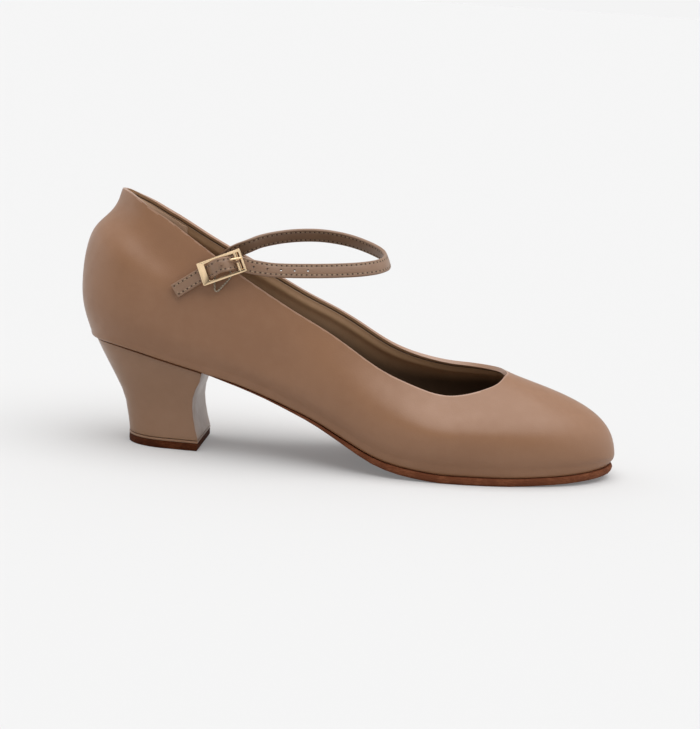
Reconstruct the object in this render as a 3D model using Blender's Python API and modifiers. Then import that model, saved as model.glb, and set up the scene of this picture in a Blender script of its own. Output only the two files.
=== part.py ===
"""A character shoe for stage dance: one hollow leather upper on a thin leather sole, a covered Cuban heel
and a narrow ankle strap with a small buckle.

Frame: metres, +Z up, +X towards the toe, +Y towards the inner (medial) side of the foot, so this is a right
shoe. The origin is the centre of the top lift's ground face.
"""

import math
from collections import namedtuple

import bmesh
import bpy
from mathutils import Matrix, Vector

# Driving sizes of the shoe
SHOE_LENGTH = 0.2467
BALL_WIDTH = 0.0820
SEAT_WIDTH = 0.0600
SEAT_HEIGHT = 0.0470
QUARTER_HEIGHT = 0.0685
THROAT_HEIGHT = 0.0407
BACK_TO_HEEL_CENTRE = 0.0420
BACK_TO_HEEL_PIVOT = 0.0340
BACK_TO_TOE_PIVOT = 0.1700

# Leather thicknesses and the gap between pieces that touch
WALL = 0.0020
SOLE_THICKNESS = 0.0034
INSOLE_THICKNESS = 0.0022
LASTED_MARGIN = 0.0120
FEATHER_RADIUS = 0.0026
MARGIN_CLEARANCE = 0.0005
SOLE_EDGE_STEP = 0.0008
SEAT_EDGE_STEP = 0.0005
WAIST_INSET = 0.0004
WAIST_BLEND = 0.0120
INSOLE_EDGE = 0.0009
GAP = 0.0003

# The upper's outline in one section, below its widest point
FEATHER_TURN = math.radians(45.8)
START_FLARE = 0.70
START_RISE = 0.40
BULGE_RISE = 0.45
LEAST_RISE = 0.0010

# Heel and top lift
LIFT_LENGTH = 0.0342
LIFT_WIDTH = 0.0356
LIFT_THICKNESS = 0.0046
BREAST_TOP_X = 0.0180
HEEL_INSET = 0.0030
BREAST_HOLLOW = 0.0037
LIFT_CORNER = 0.62
LIFT_TAPER = 0.03
LIFT_ROUNDNESS = 0.9
LIFT_BEVEL = 0.0004
LIFT_BEVEL_HEIGHT = 0.12

# Strap
STRAP_WIDTH = 0.0064
STRAP_THICKNESS = 0.0018
LOOP_LENGTH = 0.0700
LOOP_WIDTH = 0.0540
LOOP_RISE = 0.0105
LOOP_LEAN = math.tan(math.radians(23.0))
ROOT_DEPTH = 0.0080
ROOT_BACK = 0.0073
ROOT_FRONT = 0.0024
ROOT_FRONT_DEPTH = 0.15
ROOT_SLOPE_STEP = 0.0020
TAIL_LENGTH = 0.0140
TAIL_SLOPE = math.radians(35.0)
TAIL_CLEARANCE = 0.0004
HOLE_DIAMETER = 0.0014
HOLE_PITCH = 0.0059
HOLE_COUNT = 8
FIRST_HOLE = 0.0265

# Buckle and elastic
BUCKLE_X = 0.0258
BUCKLE_DROP = 0.0014
BUCKLE_STANDOFF = 0.0046
BUCKLE_LENGTH = 0.0202
BUCKLE_HEIGHT = 0.0104
BUCKLE_THICKNESS = 0.0015
BUCKLE_FRONT_BAR = 0.0010
BUCKLE_BACK_BAR = 0.0032
BUCKLE_SIDE_BAR = 0.0013
HOOK_BAR_FROM_END = 0.0026
HOOK_BAR_WIDTH = 0.0020
BUCKLE_TILT = math.radians(24.0)
BUCKLE_LEAN = math.radians(10.0)
BUCKLE_REST_UP = 0.3
BUCKLE_ROUNDING = 0.2
PRONG_DIAMETER = 0.0010
PRONG_REACH = 1.5
ELASTIC_WIDTH = 0.0021
ELASTIC_THICKNESS = 0.0008
ELASTIC_TUCK = 0.10
ELASTIC_STANDOFF = 0.55

# How finely the lofts are cut
BACK_STEPS = 9
SIDE_STEPS = 22
TOE_STEPS = 14
WALL_LOW_STEPS = 3
WALL_HIGH_STEPS = 8
HEEL_ROUND_STEPS = 10
HEEL_SIDE_STEPS = 6
STRAP_STEPS = 3

# Places round the shoe run from 0 at the back, over 4 at the toe, to this at the back again
LOOP_END = 8.0

HEEL_X = 0.0
SHOE_BACK_X = HEEL_X - BACK_TO_HEEL_CENTRE
HEEL_PIVOT_X = SHOE_BACK_X + BACK_TO_HEEL_PIVOT
TOE_PIVOT_X = SHOE_BACK_X + BACK_TO_TOE_PIVOT
HEEL_REACH = BACK_TO_HEEL_PIVOT
TOE_REACH = SHOE_LENGTH - BACK_TO_TOE_PIVOT

# One row for each place along the sole. along: share of the shoe's length from the back. rise: height of the
# sole's ground side, as a share of the seat height. thick: share of the sole's thickness.
Bed = namedtuple("Bed", "along rise thick")
BED_ROWS = (
    Bed(0.000, 0.993, 0.16),
    Bed(0.057, 0.990, 0.16),
    Bed(0.085, 0.978, 0.16),
    Bed(0.118, 0.947, 0.16),
    Bed(0.154, 0.900, 0.16),
    Bed(0.195, 0.848, 0.16),
    Bed(0.243, 0.790, 0.17),
    Bed(0.296, 0.724, 0.18),
    Bed(0.357, 0.622, 0.22),
    Bed(0.401, 0.533, 0.32),
    Bed(0.454, 0.420, 0.46),
    Bed(0.503, 0.288, 0.60),
    Bed(0.539, 0.185, 0.74),
    Bed(0.576, 0.098, 0.88),
    Bed(0.616, 0.045, 0.97),
    Bed(0.657, 0.015, 1.00),
    Bed(0.689, 0.000, 1.00),
    Bed(0.811, 0.000, 1.00),
    Bed(0.859, 0.010, 1.00),
    Bed(0.908, 0.022, 1.00),
    Bed(0.953, 0.040, 1.00),
    Bed(1.000, 0.068, 1.00),
)

# One row for each upright section of the last. at: 0 to 1 is the quarter turn round the heel, 1 to 3 runs
# along the side, 3 to 4 is the quarter turn round the toe. feather, bulge and top: how far out the sole's
# edge, the widest point and the topline lie, as shares of the local half width or reach. bulge_up: height of
# the widest point, as a share of the wall's height. top_up: height of the topline over the bed, as a share
# of the quarter or throat height. lean: the wall's slope at the topline, in degrees above level. swell and
# reach: fullness of the curve below and above.
Section = namedtuple("Section", "at feather bulge bulge_up top top_up lean swell reach")
BACK_ROW = Section(0.00, 0.858, 1.000, 0.360, 0.512, 1.000, 78, 0.77, 0.42)
TOE_ROW = Section(4.00, 0.975, 1.000, 0.115, 0.330, 1.000, 15, 0.60, 0.44)
OUTER_ROWS = (
    Section(0.50, 0.856, 1.005, 0.340, 0.480, 0.985, 76, 0.65, 0.36),
    Section(1.00, 0.843, 0.993, 0.290, 0.583, 0.934, 72, 0.50, 0.32),
    Section(1.34, 0.830, 0.966, 0.318, 0.733, 0.846, 74, 0.42, 0.33),
    Section(1.63, 0.807, 0.945, 0.283, 0.785, 0.788, 77, 0.40, 0.33),
    Section(2.00, 0.806, 0.935, 0.292, 0.789, 0.797, 74, 0.40, 0.33),
    Section(2.37, 0.880, 0.995, 0.319, 0.776, 0.866, 68, 0.42, 0.35),
    Section(2.71, 0.932, 1.010, 0.354, 0.719, 0.868, 56, 0.45, 0.38),
    Section(3.00, 0.924, 0.995, 0.400, 0.610, 0.813, 40, 0.48, 0.42),
    Section(3.33, 0.905, 0.955, 0.340, 0.478, 0.905, 30, 0.50, 0.45),
    Section(3.67, 0.932, 0.965, 0.210, 0.360, 0.988, 20, 0.52, 0.46),
)
INNER_ROWS = (
    Section(0.50, 0.856, 1.005, 0.340, 0.480, 0.955, 76, 0.65, 0.36),
    Section(1.00, 0.827, 0.977, 0.290, 0.567, 0.898, 72, 0.50, 0.32),
    Section(1.34, 0.778, 0.927, 0.330, 0.713, 0.809, 74, 0.42, 0.33),
    Section(1.63, 0.669, 0.844, 0.390, 0.767, 0.780, 76, 0.40, 0.33),
    Section(2.00, 0.577, 0.789, 0.517, 0.777, 0.800, 80, 0.40, 0.33),
    Section(2.37, 0.677, 0.854, 0.459, 0.781, 0.895, 76, 0.42, 0.35),
    Section(2.71, 0.823, 0.952, 0.459, 0.756, 0.940, 64, 0.45, 0.38),
    Section(3.00, 0.890, 0.990, 0.397, 0.646, 0.972, 48, 0.48, 0.42),
    Section(3.33, 0.922, 0.980, 0.330, 0.488, 0.990, 34, 0.50, 0.45),
    Section(3.67, 0.960, 1.000, 0.205, 0.360, 1.000, 22, 0.52, 0.46),
)

# The outsole's edge from its top to the ground. out: metres out from the edge line. down: share of the sole's
# thickness down.
Rim = namedtuple("Rim", "out down")
EDGE_ROWS = (
    Rim(0.0, 0.0),
    Rim(0.0003, 0.35),
    Rim(0.0, 0.75),
    Rim(-0.0008, 1.0),
)

# The strap's section, as shares of its width and thickness.
Corner = namedtuple("Corner", "width depth")
STRAP_CORNERS = (
    Corner(-0.50, -0.3),
    Corner(-0.50, 0.3),
    Corner(-0.46, 0.5),
    Corner(0.46, 0.5),
    Corner(0.50, 0.3),
    Corner(0.50, -0.3),
    Corner(0.46, -0.5),
    Corner(-0.46, -0.5),
)

# The prong at the front bar, over the hook bar, halfway on and at its tip. up: share of the buckle's height
# over the middle. lift: how far it rises over the frame, as a share of the prong's radius.
Bend = namedtuple("Bend", "up lift")
PRONG_ROWS = (Bend(0.08, 0.0), Bend(0.12, 0.1), Bend(0.15, 0.5), Bend(0.16, 0.7))

# One row for each level of the heel. up: share of the heel's own height. flare: share of the way from the
# lift's outline out to the seat's, at the back. width: the same, across. hollow: how far the breast is cut
# back behind a straight face, as a share of its deepest hollow.
Level = namedtuple("Level", "up flare width hollow")
LEVEL_ROWS = (
    Level(0.00, 0.000, 0.00, 0.00),
    Level(0.07, 0.020, -0.05, 0.20),
    Level(0.15, 0.055, -0.08, 0.42),
    Level(0.32, 0.140, -0.06, 0.80),
    Level(0.46, 0.270, 0.04, 0.98),
    Level(0.60, 0.455, 0.26, 0.95),
    Level(0.74, 0.650, 0.54, 0.64),
    Level(0.87, 0.830, 0.80, 0.17),
    Level(1.00, 1.000, 1.00, 0.00),
)


def steepness(xs, ys):
    """Slopes at the knots of a curve that never overshoots its rows, so a flat stretch stays flat."""
    widths = [b - a for a, b in zip(xs, xs[1:])]
    chords = [(b - a) / w for a, b, w in zip(ys, ys[1:], widths)]
    slopes = [chords[0]]
    for before, after in zip(chords, chords[1:]):
        level = before * after <= 0.0
        slopes.append(0.0 if level else 2.0 * before * after / (before + after))
    slopes.append(chords[-1])
    return slopes


def hermite(x, xs, ys, slopes):
    """Value at x of the cubic through the rows with those slopes."""
    i = max(k for k in range(len(xs) - 1) if k == 0 or xs[k] <= x)
    width = xs[i + 1] - xs[i]
    t = min(max((x - xs[i]) / width, 0.0), 1.0)
    start = ys[i] * (2 * t**3 - 3 * t**2 + 1) + slopes[i] * width * (t**3 - 2 * t**2 + t)
    end = ys[i + 1] * (3 * t**2 - 2 * t**3) + slopes[i + 1] * width * (t**3 - t**2)
    return start + end


def column(rows, name):
    """One named column of a table."""
    return [getattr(row, name) for row in rows]


def along_bed(x, name):
    """A column of the bed's table at a place x along the shoe."""
    xs = column(BED_ROWS, "along")
    ys = column(BED_ROWS, name)
    return hermite((x - SHOE_BACK_X) / SHOE_LENGTH, xs, ys, steepness(xs, ys))


def sole_thickness(x):
    """Thickness of the outsole at x."""
    return along_bed(x, "thick") * SOLE_THICKNESS


def bed_height(x):
    """Height of the outsole's upper side, which the upper is lasted on, at x."""
    return along_bed(x, "rise") * SEAT_HEIGHT + sole_thickness(x)


def section_loop():
    """The sections in order all round the shoe: back, outer side, toe, inner side."""
    inner = [row._replace(at=LOOP_END - row.at) for row in reversed(INNER_ROWS)]
    return [BACK_ROW, *OUTER_ROWS, TOE_ROW, *inner]


SECTIONS = section_loop()
SECTION_PLACES = column(SECTIONS, "at")


def section_at(place, name):
    """A column of the sections' table at a place round the shoe, smooth across back and toe."""
    count = len(SECTIONS)
    xs = [SECTION_PLACES[k % count] + LOOP_END * (k // count) for k in range(-2, count + 3)]
    ys = [getattr(SECTIONS[k % count], name) for k in range(-2, count + 3)]
    slopes = [0.0] * len(xs)
    for k in range(1, len(xs) - 1):
        slopes[k] = (ys[k + 1] - ys[k - 1]) / (xs[k + 1] - xs[k - 1])
    return hermite(place % LOOP_END, xs[1:-1], ys[1:-1], slopes[1:-1])


def side_of(place):
    """-1 on the outer side of the shoe, 1 on the inner side."""
    return -1.0 if place <= LOOP_END / 2 else 1.0


def folded(place):
    """The place counted from the back, 0 to 4, on either side."""
    return place if place <= LOOP_END / 2 else LOOP_END - place


def towards_ball(place):
    """0 at the heel and 1 at the ball, easing between them along the side."""
    t = min(max((folded(place) - 1.0) / 2.0, 0.0), 1.0)
    return t * t * (3.0 - 2.0 * t)


def half_width(place):
    """The half width that a section's shares follow."""
    t = towards_ball(place)
    return 0.5 * (SEAT_WIDTH * (1.0 - t) + BALL_WIDTH * t)


def wall_unit(place):
    """The height that a topline's shares follow."""
    t = towards_ball(place)
    return QUARTER_HEIGHT * (1.0 - t) + THROAT_HEIGHT * t


def spine_and_arm(place):
    """The middle point of a section's upright plane, and the plan vector that is one share long."""
    at = folded(place)
    side = side_of(place)
    if at < 1.0:
        turn = at * math.pi / 2
        arm = Vector((-HEEL_REACH * math.cos(turn), side * half_width(place) * math.sin(turn), 0.0))
        return Vector((HEEL_PIVOT_X, 0.0, 0.0)), arm
    if at <= 3.0:
        x = HEEL_PIVOT_X + (TOE_PIVOT_X - HEEL_PIVOT_X) * (at - 1.0) / 2.0
        return Vector((x, 0.0, 0.0)), Vector((0.0, side * half_width(place), 0.0))
    turn = (4.0 - at) * math.pi / 2
    arm = Vector((TOE_REACH * math.cos(turn), side * half_width(place) * math.sin(turn), 0.0))
    return Vector((TOE_PIVOT_X, 0.0, 0.0)), arm


def plan_point(place, out):
    """The plan point of a section, out metres from its spine."""
    spine, arm = spine_and_arm(place)
    return spine + arm.normalized() * out


def reach_of(place, name):
    """A share column of a section as metres out from its spine."""
    return section_at(place, name) * spine_and_arm(place)[1].length


def bezier(points, t):
    """Point of a cubic Bezier curve in the plane of a section."""
    a, b, c, d = points
    s = 1.0 - t
    return a * s**3 + b * (3 * s * s * t) + c * (3 * s * t * t) + d * t**3


def outer_curve(place):
    """The outside of the upper in one section, as (out, height) pairs from margin to topline."""
    feather = reach_of(place, "feather")
    bulge_out = reach_of(place, "bulge")
    top_out = reach_of(place, "top")
    bed = bed_height(plan_point(place, feather).x)
    top_z = bed_height(plan_point(place, top_out).x) + section_at(place, "top_up") * wall_unit(place)
    bulge_z = bed + section_at(place, "bulge_up") * (top_z - bed)
    curve = []
    for inset in (LASTED_MARGIN, 0.5 * (LASTED_MARGIN + FEATHER_RADIUS), FEATHER_RADIUS):
        out = feather - inset
        curve.append(Vector((out, bed_height(plan_point(place, out).x) + GAP)))
    base = Vector((feather - FEATHER_RADIUS, bed + GAP + FEATHER_RADIUS))
    curve.append(base + Vector((math.sin(FEATHER_TURN), -math.cos(FEATHER_TURN))) * FEATHER_RADIUS)
    start = base + Vector((FEATHER_RADIUS, 0.0))
    bulge = Vector((bulge_out, bulge_z))
    rise = max(bulge_z - start.y, LEAST_RISE)
    flare = Vector((START_FLARE * (bulge_out - start.x), START_RISE * rise))
    low = (start, start + flare, bulge - Vector((0.0, BULGE_RISE * rise)), bulge)
    curve += [bezier(low, k / WALL_LOW_STEPS) for k in range(WALL_LOW_STEPS)]
    top = Vector((top_out, top_z))
    lean = math.radians(section_at(place, "lean"))
    chord = (top - bulge).length
    high = (bulge, bulge + Vector((0.0, section_at(place, "swell") * (top_z - bulge_z))))
    high += (top - Vector((-math.cos(lean), math.sin(lean))) * section_at(place, "reach") * chord, top)
    curve += [bezier(high, k / WALL_HIGH_STEPS) for k in range(WALL_HIGH_STEPS + 1)]
    return curve


def inward(curve, depth):
    """The curve moved to its left by depth, which is into the shoe."""
    moved = []
    for k, point in enumerate(curve):
        ahead = curve[min(k + 1, len(curve) - 1)] - curve[max(k - 1, 0)]
        moved.append(point + Vector((-ahead.y, ahead.x)).normalized() * depth)
    return moved


def places_round():
    """Places of the sections all round, close together where the outline turns."""
    outer = [k / BACK_STEPS for k in range(BACK_STEPS)]
    outer += [1.0 + 2.0 * k / SIDE_STEPS for k in range(SIDE_STEPS)]
    outer += [3.0 + k / TOE_STEPS for k in range(TOE_STEPS + 1)]
    return outer + [LOOP_END - at for at in reversed(outer[1:-1])]


def in_space(place, pair):
    """A section's (out, height) pair as a point of the shoe."""
    point = plan_point(place, pair.x)
    point.z = pair.y
    return point


def material(name, colour, roughness, metallic=0.0):
    """A plain Principled material."""
    made = bpy.data.materials.new(name)
    made.use_nodes = True
    shader = made.node_tree.nodes["Principled BSDF"]
    shader.inputs["Base Color"].default_value = (*colour, 1.0)
    shader.inputs["Roughness"].default_value = roughness
    shader.inputs["Metallic"].default_value = metallic
    return made


def finish_object(name, mesh, look, collection):
    """Links a mesh as a named object with its material, with smooth faces and sharp edges."""
    mesh.materials.append(look)
    mesh.shade_smooth()
    mesh.set_sharp_from_angle(angle=math.radians(40.0))
    made = bpy.data.objects.new(name, mesh)
    collection.objects.link(made)
    return made


def skinned(name, rings, around=True):
    """A mesh skinned over rings of points. The rings close on themselves and, where around is true, join up
    into a loop; otherwise each end is capped."""
    mesh = bpy.data.meshes.new(name)
    work = bmesh.new()
    verts = [[work.verts.new(point) for point in ring] for ring in rings]
    count = len(rings[0])
    last = len(verts) if around else len(verts) - 1
    for k in range(last):
        here, there = verts[k], verts[(k + 1) % len(verts)]
        for j in range(count):
            i = (j + 1) % count
            work.faces.new((here[j], here[i], there[i], there[j]))
    if not around:
        work.faces.new(list(reversed(verts[0])))
        work.faces.new(verts[-1])
    bmesh.ops.recalc_face_normals(work, faces=work.faces)
    work.to_mesh(mesh)
    work.free()
    return mesh


def slab(name, chains, pointed=True):
    """A closed solid over an outline. Each chain runs from the top edge to the bottom edge at one place of
    the outline. Top and bottom are closed by strips across, from each place to the one opposite. A pointed
    outline has one chain at its back end, any other starts and ends on a straight cross edge."""
    mesh = bpy.data.meshes.new(name)
    work = bmesh.new()
    verts = [[work.verts.new(point) for point in chain] for chain in chains]
    count = len(verts)
    for k in range(count):
        here, there = verts[k], verts[(k + 1) % count]
        for j in range(len(here) - 1):
            work.faces.new((here[j], here[j + 1], there[j + 1], there[j]))
    shift = 0 if pointed else 1
    for end in (0, -1):
        for k in range(count // 2):
            across = (count - k - 1 - shift, (count - k - shift) % count)
            corners = [verts[k][end], verts[k + 1][end], *(verts[j][end] for j in across)]
            corners = list(dict.fromkeys(corners))
            if len(corners) > 2:
                work.faces.new(corners)
    bmesh.ops.recalc_face_normals(work, faces=work.faces)
    work.to_mesh(mesh)
    work.free()
    return mesh


def build_upper(look, collection):
    """The hollow upper: a wall round the foot, turned in under it as a lasted margin."""
    rings = []
    for place in places_round():
        outside = outer_curve(place)
        inside = inward(outside, WALL)
        rings.append([in_space(place, pair) for pair in outside + list(reversed(inside))])
    return finish_object("upper", skinned("upper", rings), look, collection)


def sole_edge(place):
    """How far out the outsole's edge lies: proud of the upper in front, drawn in under the heel."""
    feather = reach_of(place, "feather")
    x = plan_point(place, feather).x
    seat = min(max((x - BREAST_TOP_X) / WAIST_BLEND, 0.0), 1.0)
    front = min(max((x - BREAST_TOP_X) / (TOE_PIVOT_X - BREAST_TOP_X), 0.0), 1.0)
    drawn_in = (HEEL_INSET + SEAT_EDGE_STEP) * (1.0 - seat)
    return feather + SOLE_EDGE_STEP * front - drawn_in - WAIST_INSET * seat * (1.0 - front)


def build_outsole(look, collection):
    """The leather outsole, full under the forefoot, skived thin through the waist and under the heel."""
    chains = []
    for place in places_round():
        edge = sole_edge(place)
        chain = []
        for rim in EDGE_ROWS:
            point = plan_point(place, edge + rim.out)
            point.z = bed_height(point.x) - rim.down * sole_thickness(point.x)
            chain.append(point)
        chains.append(chain)
    return finish_object("outsole", slab("outsole", chains), look, collection)


def build_insole(look, collection):
    """The insole: a flange on the lasted margin, thicker in the middle where the margin leaves a hollow."""
    chains = []
    for place in places_round():
        feather = reach_of(place, "feather")
        rim = feather - WALL - INSOLE_EDGE
        core = feather - LASTED_MARGIN - GAP
        chain = []
        flange = GAP + WALL + MARGIN_CLEARANCE
        for out, up in ((rim, flange + INSOLE_THICKNESS), (rim, flange), (core, flange), (core, GAP)):
            point = plan_point(place, out)
            point.z = bed_height(point.x) + up
            chain.append(point)
        chains.append(chain)
    return finish_object("insole", slab("insole", chains), look, collection)


LIFT_BACK_X = HEEL_X - LIFT_LENGTH / 2
LIFT_FRONT_X = HEEL_X + LIFT_LENGTH / 2


def heel_shares():
    """Places round the heel's outline, from the outer breast corner round the back to the inner one."""
    side = [1.0 - k / HEEL_SIDE_STEPS for k in range(HEEL_SIDE_STEPS)]
    turn = [-k / HEEL_ROUND_STEPS for k in range(HEEL_ROUND_STEPS + 1)]
    outer = [(s, -1.0) for s in side + turn]
    return outer + [(s, 1.0) for s, _ in reversed(outer[:-1])]


def lift_outline(share, side, width, breast_x):
    """D-shaped outline of the heel near the floor. share: 1 at the breast, 0 at the round, -1 at the back."""
    round_reach = LIFT_CORNER * LIFT_LENGTH
    pivot_x = LIFT_BACK_X + round_reach
    if share >= 0.0:
        taper = 1.0 - LIFT_TAPER * (1.0 - share)
        return Vector((pivot_x + (breast_x - pivot_x) * share, side * width * taper, 0.0))
    turn = (1.0 + share) * math.pi / 2
    x = pivot_x - round_reach * math.cos(turn) ** LIFT_ROUNDNESS
    return Vector((x, side * width * (1.0 - LIFT_TAPER) * math.sin(turn) ** LIFT_ROUNDNESS, 0.0))


def seat_outline(share, side, breast_x):
    """The heel's outline at the seat, just inside the upper's edge."""
    breast_place = 1.0 + 2.0 * (breast_x - HEEL_PIVOT_X) / (TOE_PIVOT_X - HEEL_PIVOT_X)
    at = 1.0 + (breast_place - 1.0) * share if share >= 0.0 else 1.0 + share
    place = at if side < 0.0 else (LOOP_END - at) % LOOP_END
    return plan_point(place, reach_of(place, "feather") - HEEL_INSET)


def heel_top(x):
    """Height of the heel's seat face at x, under the outsole."""
    return bed_height(x) - sole_thickness(x) - GAP


def heel_ring(level, shares, base_z):
    """One level of the heel: its outline and heights between the lift and the seat."""
    flare = level.flare
    spread = level.width
    straight = LIFT_FRONT_X + level.up * (BREAST_TOP_X - LIFT_FRONT_X)
    breast_x = straight - level.hollow * BREAST_HOLLOW
    ring = []
    for share, side in shares:
        low = lift_outline(share, side, LIFT_WIDTH / 2, breast_x)
        high = seat_outline(share, side, breast_x)
        point = Vector((low.x + (high.x - low.x) * flare, low.y + (high.y - low.y) * spread, 0.0))
        top = heel_top(high.x)
        point.z = base_z + (top - base_z) * level.up
        ring.append(point)
    return ring


def cross_capped(name, rings):
    """A mesh over stacked open-backed outlines, closed across the breast and capped by strips."""
    chains = [[ring[k] for ring in rings] for k in range(len(rings[0]))]
    return slab(name, chains, pointed=False)


def build_heel(look, collection):
    """The covered heel block: a Cuban shape, hollowed at back and breast."""
    base_z = LIFT_THICKNESS + GAP
    shares = heel_shares()
    rings = [heel_ring(level, shares, base_z) for level in reversed(LEVEL_ROWS)]
    return finish_object("heel_block", cross_capped("heel_block", rings), look, collection)


def build_top_lift(look, collection):
    """The leather top lift under the heel, a flat D with a slight bevel at the ground."""
    rings = []
    for up, grow in ((1.0, 0.0), (LIFT_BEVEL_HEIGHT, 0.0), (0.0, -LIFT_BEVEL)):
        ring = []
        for share, side in heel_shares():
            point = lift_outline(share, side, LIFT_WIDTH / 2 + grow, LIFT_FRONT_X + grow)
            point.x = max(point.x, LIFT_BACK_X - grow)
            point.z = up * LIFT_THICKNESS
            ring.append(point)
        rings.append(ring)
    return finish_object("top_lift", cross_capped("top_lift", rings), look, collection)


def place_at(x, side):
    """The place round the shoe whose upright plane crosses the side at x."""
    at = 1.0 + 2.0 * (x - HEEL_PIVOT_X) / (TOE_PIVOT_X - HEEL_PIVOT_X)
    return at if side < 0.0 else LOOP_END - at


def topline_height(x, side):
    """Height of the topline at x on one side."""
    return outer_curve(place_at(x, side))[-1].y


def skin_reach(x, z, side):
    """How far out from the middle the upper's outside lies at x and height z."""
    curve = outer_curve(place_at(x, side))
    for low, high in zip(curve[-WALL_HIGH_STEPS - 1 :], curve[-WALL_HIGH_STEPS:]):
        if low.y <= z <= high.y:
            return low.x + (high.x - low.x) * (z - low.y) / (high.y - low.y)
    return curve[-1].x if z > curve[-1].y else curve[-WALL_HIGH_STEPS - 1].x


BUCKLE_Z = topline_height(BUCKLE_X, -1.0) - BUCKLE_DROP
BUCKLE_Y = -skin_reach(BUCKLE_X, BUCKLE_Z - BUCKLE_REST_UP * BUCKLE_HEIGHT, -1.0) - BUCKLE_STANDOFF
BUCKLE_CENTRE = Vector((BUCKLE_X, BUCKLE_Y, BUCKLE_Z))
BUCKLE_TURN = Matrix.Rotation(-BUCKLE_LEAN, 3, "X") @ Matrix.Rotation(-BUCKLE_TILT, 3, "Y")


def from_buckle(along, up, out):
    """A point given in the buckle's own axes, as a point of the shoe. out is away from the shoe."""
    return BUCKLE_CENTRE + BUCKLE_TURN @ Vector((along, -out, up))


# The strap's free loop, from where it leaves the inner topline to the buckle. forward: share of the loop's
# length ahead of the buckle. across: share of its half width, inner side positive. rise: share of its rise
# above the buckle.
Station = namedtuple("Station", "forward across rise")
LOOP_ROWS = (
    Station(0.06, 0.735, 0.32),
    Station(0.16, 0.83, 0.60),
    Station(0.33, 0.93, 0.85),
    Station(0.52, 0.95, 0.96),
    Station(0.70, 0.84, 0.90),
    Station(0.85, 0.60, 0.74),
    Station(0.965, 0.26, 0.55),
    Station(1.003, -0.15, 0.41),
    Station(0.968, -0.52, 0.33),
    Station(0.86, -0.78, 0.24),
    Station(0.70, -0.92, 0.15),
    Station(0.50, -0.99, 0.06),
    Station(0.32, -1.04, 0.02),
)

# The strap's way through the buckle. along and up: shares of the buckle's half length and half height. out:
# share of the tuck behind a bar, below zero behind the frame and above zero where the strap stands up.
Threading = namedtuple("Threading", "along up out")
BUCKLE_ROWS = (
    Threading(1.20, -0.75, -1.10),
    Threading(0.94, -0.40, -1.12),
    Threading(0.74, -0.10, -1.12),
    Threading(0.60, 0.00, -1.02),
    Threading(0.42, 0.06, -0.05),
    Threading(0.20, 0.10, 1.08),
    Threading(-0.06, 0.18, 1.45),
    Threading(-0.32, 0.09, 1.05),
    Threading(-0.52, 0.05, -0.25),
    Threading(-0.70, 0.00, -1.08),
    Threading(-0.96, 0.00, -1.12),
)
TUCK = 0.5 * BUCKLE_THICKNESS + GAP + 0.5 * STRAP_THICKNESS

# The elastic's loop in the buckle's plane, as shares of the buckle's length and height.
Turn = namedtuple("Turn", "along up")
ELASTIC_ROWS = (
    Turn(-0.325, -0.81),
    Turn(-0.300, -0.62),
    Turn(-0.265, -0.39),
    Turn(-0.175, -0.17),
    Turn(-0.010, -0.09),
    Turn(0.105, -0.20),
    Turn(0.125, -0.40),
    Turn(0.020, -0.58),
    Turn(-0.140, -0.74),
    Turn(-0.260, -0.86),
)

def smooth_path(points, steps, closed=False):
    """Points on a Catmull-Rom curve through the given ones, steps of them from each to the next."""
    if closed:
        padded = [points[-1], *points, points[0], points[1]]
    else:
        padded = [points[0] * 2 - points[1], *points, points[-1] * 2 - points[-2]]
    path = []
    for a, b, c, d in zip(padded, padded[1:], padded[2:], padded[3:]):
        for k in range(steps):
            t = k / steps
            bend = (2 * a - 5 * b + 4 * c - d) * t * t + (3 * b - a - 3 * c + d) * t**3
            path.append(0.5 * (2 * b + (c - a) * t + bend))
    return path if closed else [*path, points[-1]]


def strap_course():
    """The middle line of the strap and its upward direction along it, from its sewn end to its tip."""
    course = []
    sunk = WALL + 2.0 * GAP + 0.5 * STRAP_THICKNESS
    for back, drop in ((ROOT_BACK, ROOT_DEPTH), (ROOT_FRONT, ROOT_FRONT_DEPTH * ROOT_DEPTH)):
        x = BUCKLE_X - back
        z = topline_height(x, 1.0) - drop
        below = skin_reach(x, z - ROOT_SLOPE_STEP, 1.0)
        reach = skin_reach(x, z, 1.0)
        slope = Vector((0.0, reach - below, ROOT_SLOPE_STEP)).normalized()
        course.append((Vector((x, reach - sunk, z)), slope))
    for row in LOOP_ROWS:
        x = BUCKLE_X + row.forward * LOOP_LENGTH
        z = BUCKLE_Z + row.rise * LOOP_RISE
        lean = Vector((-row.forward, -row.across, 0.0)) * LOOP_LEAN
        course.append((Vector((x, 0.5 * row.across * LOOP_WIDTH, z)), lean + Vector((0.0, 0.0, 1.0))))
    up = BUCKLE_TURN @ Vector((0.0, 0.0, 1.0))
    for row in BUCKLE_ROWS:
        along = 0.5 * row.along * BUCKLE_LENGTH
        course.append((from_buckle(along, 0.5 * row.up * BUCKLE_HEIGHT, row.out * TUCK), up))
    tip = course[-1][0]
    heading = Vector((-math.cos(TAIL_SLOPE), 0.0, -math.sin(TAIL_SLOPE)))
    for share in (0.5, 1.0):
        point = tip + heading * TAIL_LENGTH * share
        reach = skin_reach(point.x, point.z, -1.0) + GAP + 0.5 * STRAP_THICKNESS + TAIL_CLEARANCE
        course.append((Vector((point.x, -reach, point.z)), Vector((0.0, 0.2, 1.0)).normalized()))
    return course


def strap_frames():
    """Points along the strap with the direction across its width and its outward direction."""
    course = strap_course()
    points = smooth_path([point for point, _ in course], STRAP_STEPS)
    hints = smooth_path([hint for _, hint in course], STRAP_STEPS)
    frames = []
    for k, point in enumerate(points):
        ahead = (points[min(k + 1, len(points) - 1)] - points[max(k - 1, 0)]).normalized()
        across = (hints[k] - ahead * hints[k].dot(ahead)).normalized()
        frames.append((point, across, across.cross(ahead)))
    return frames


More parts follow.
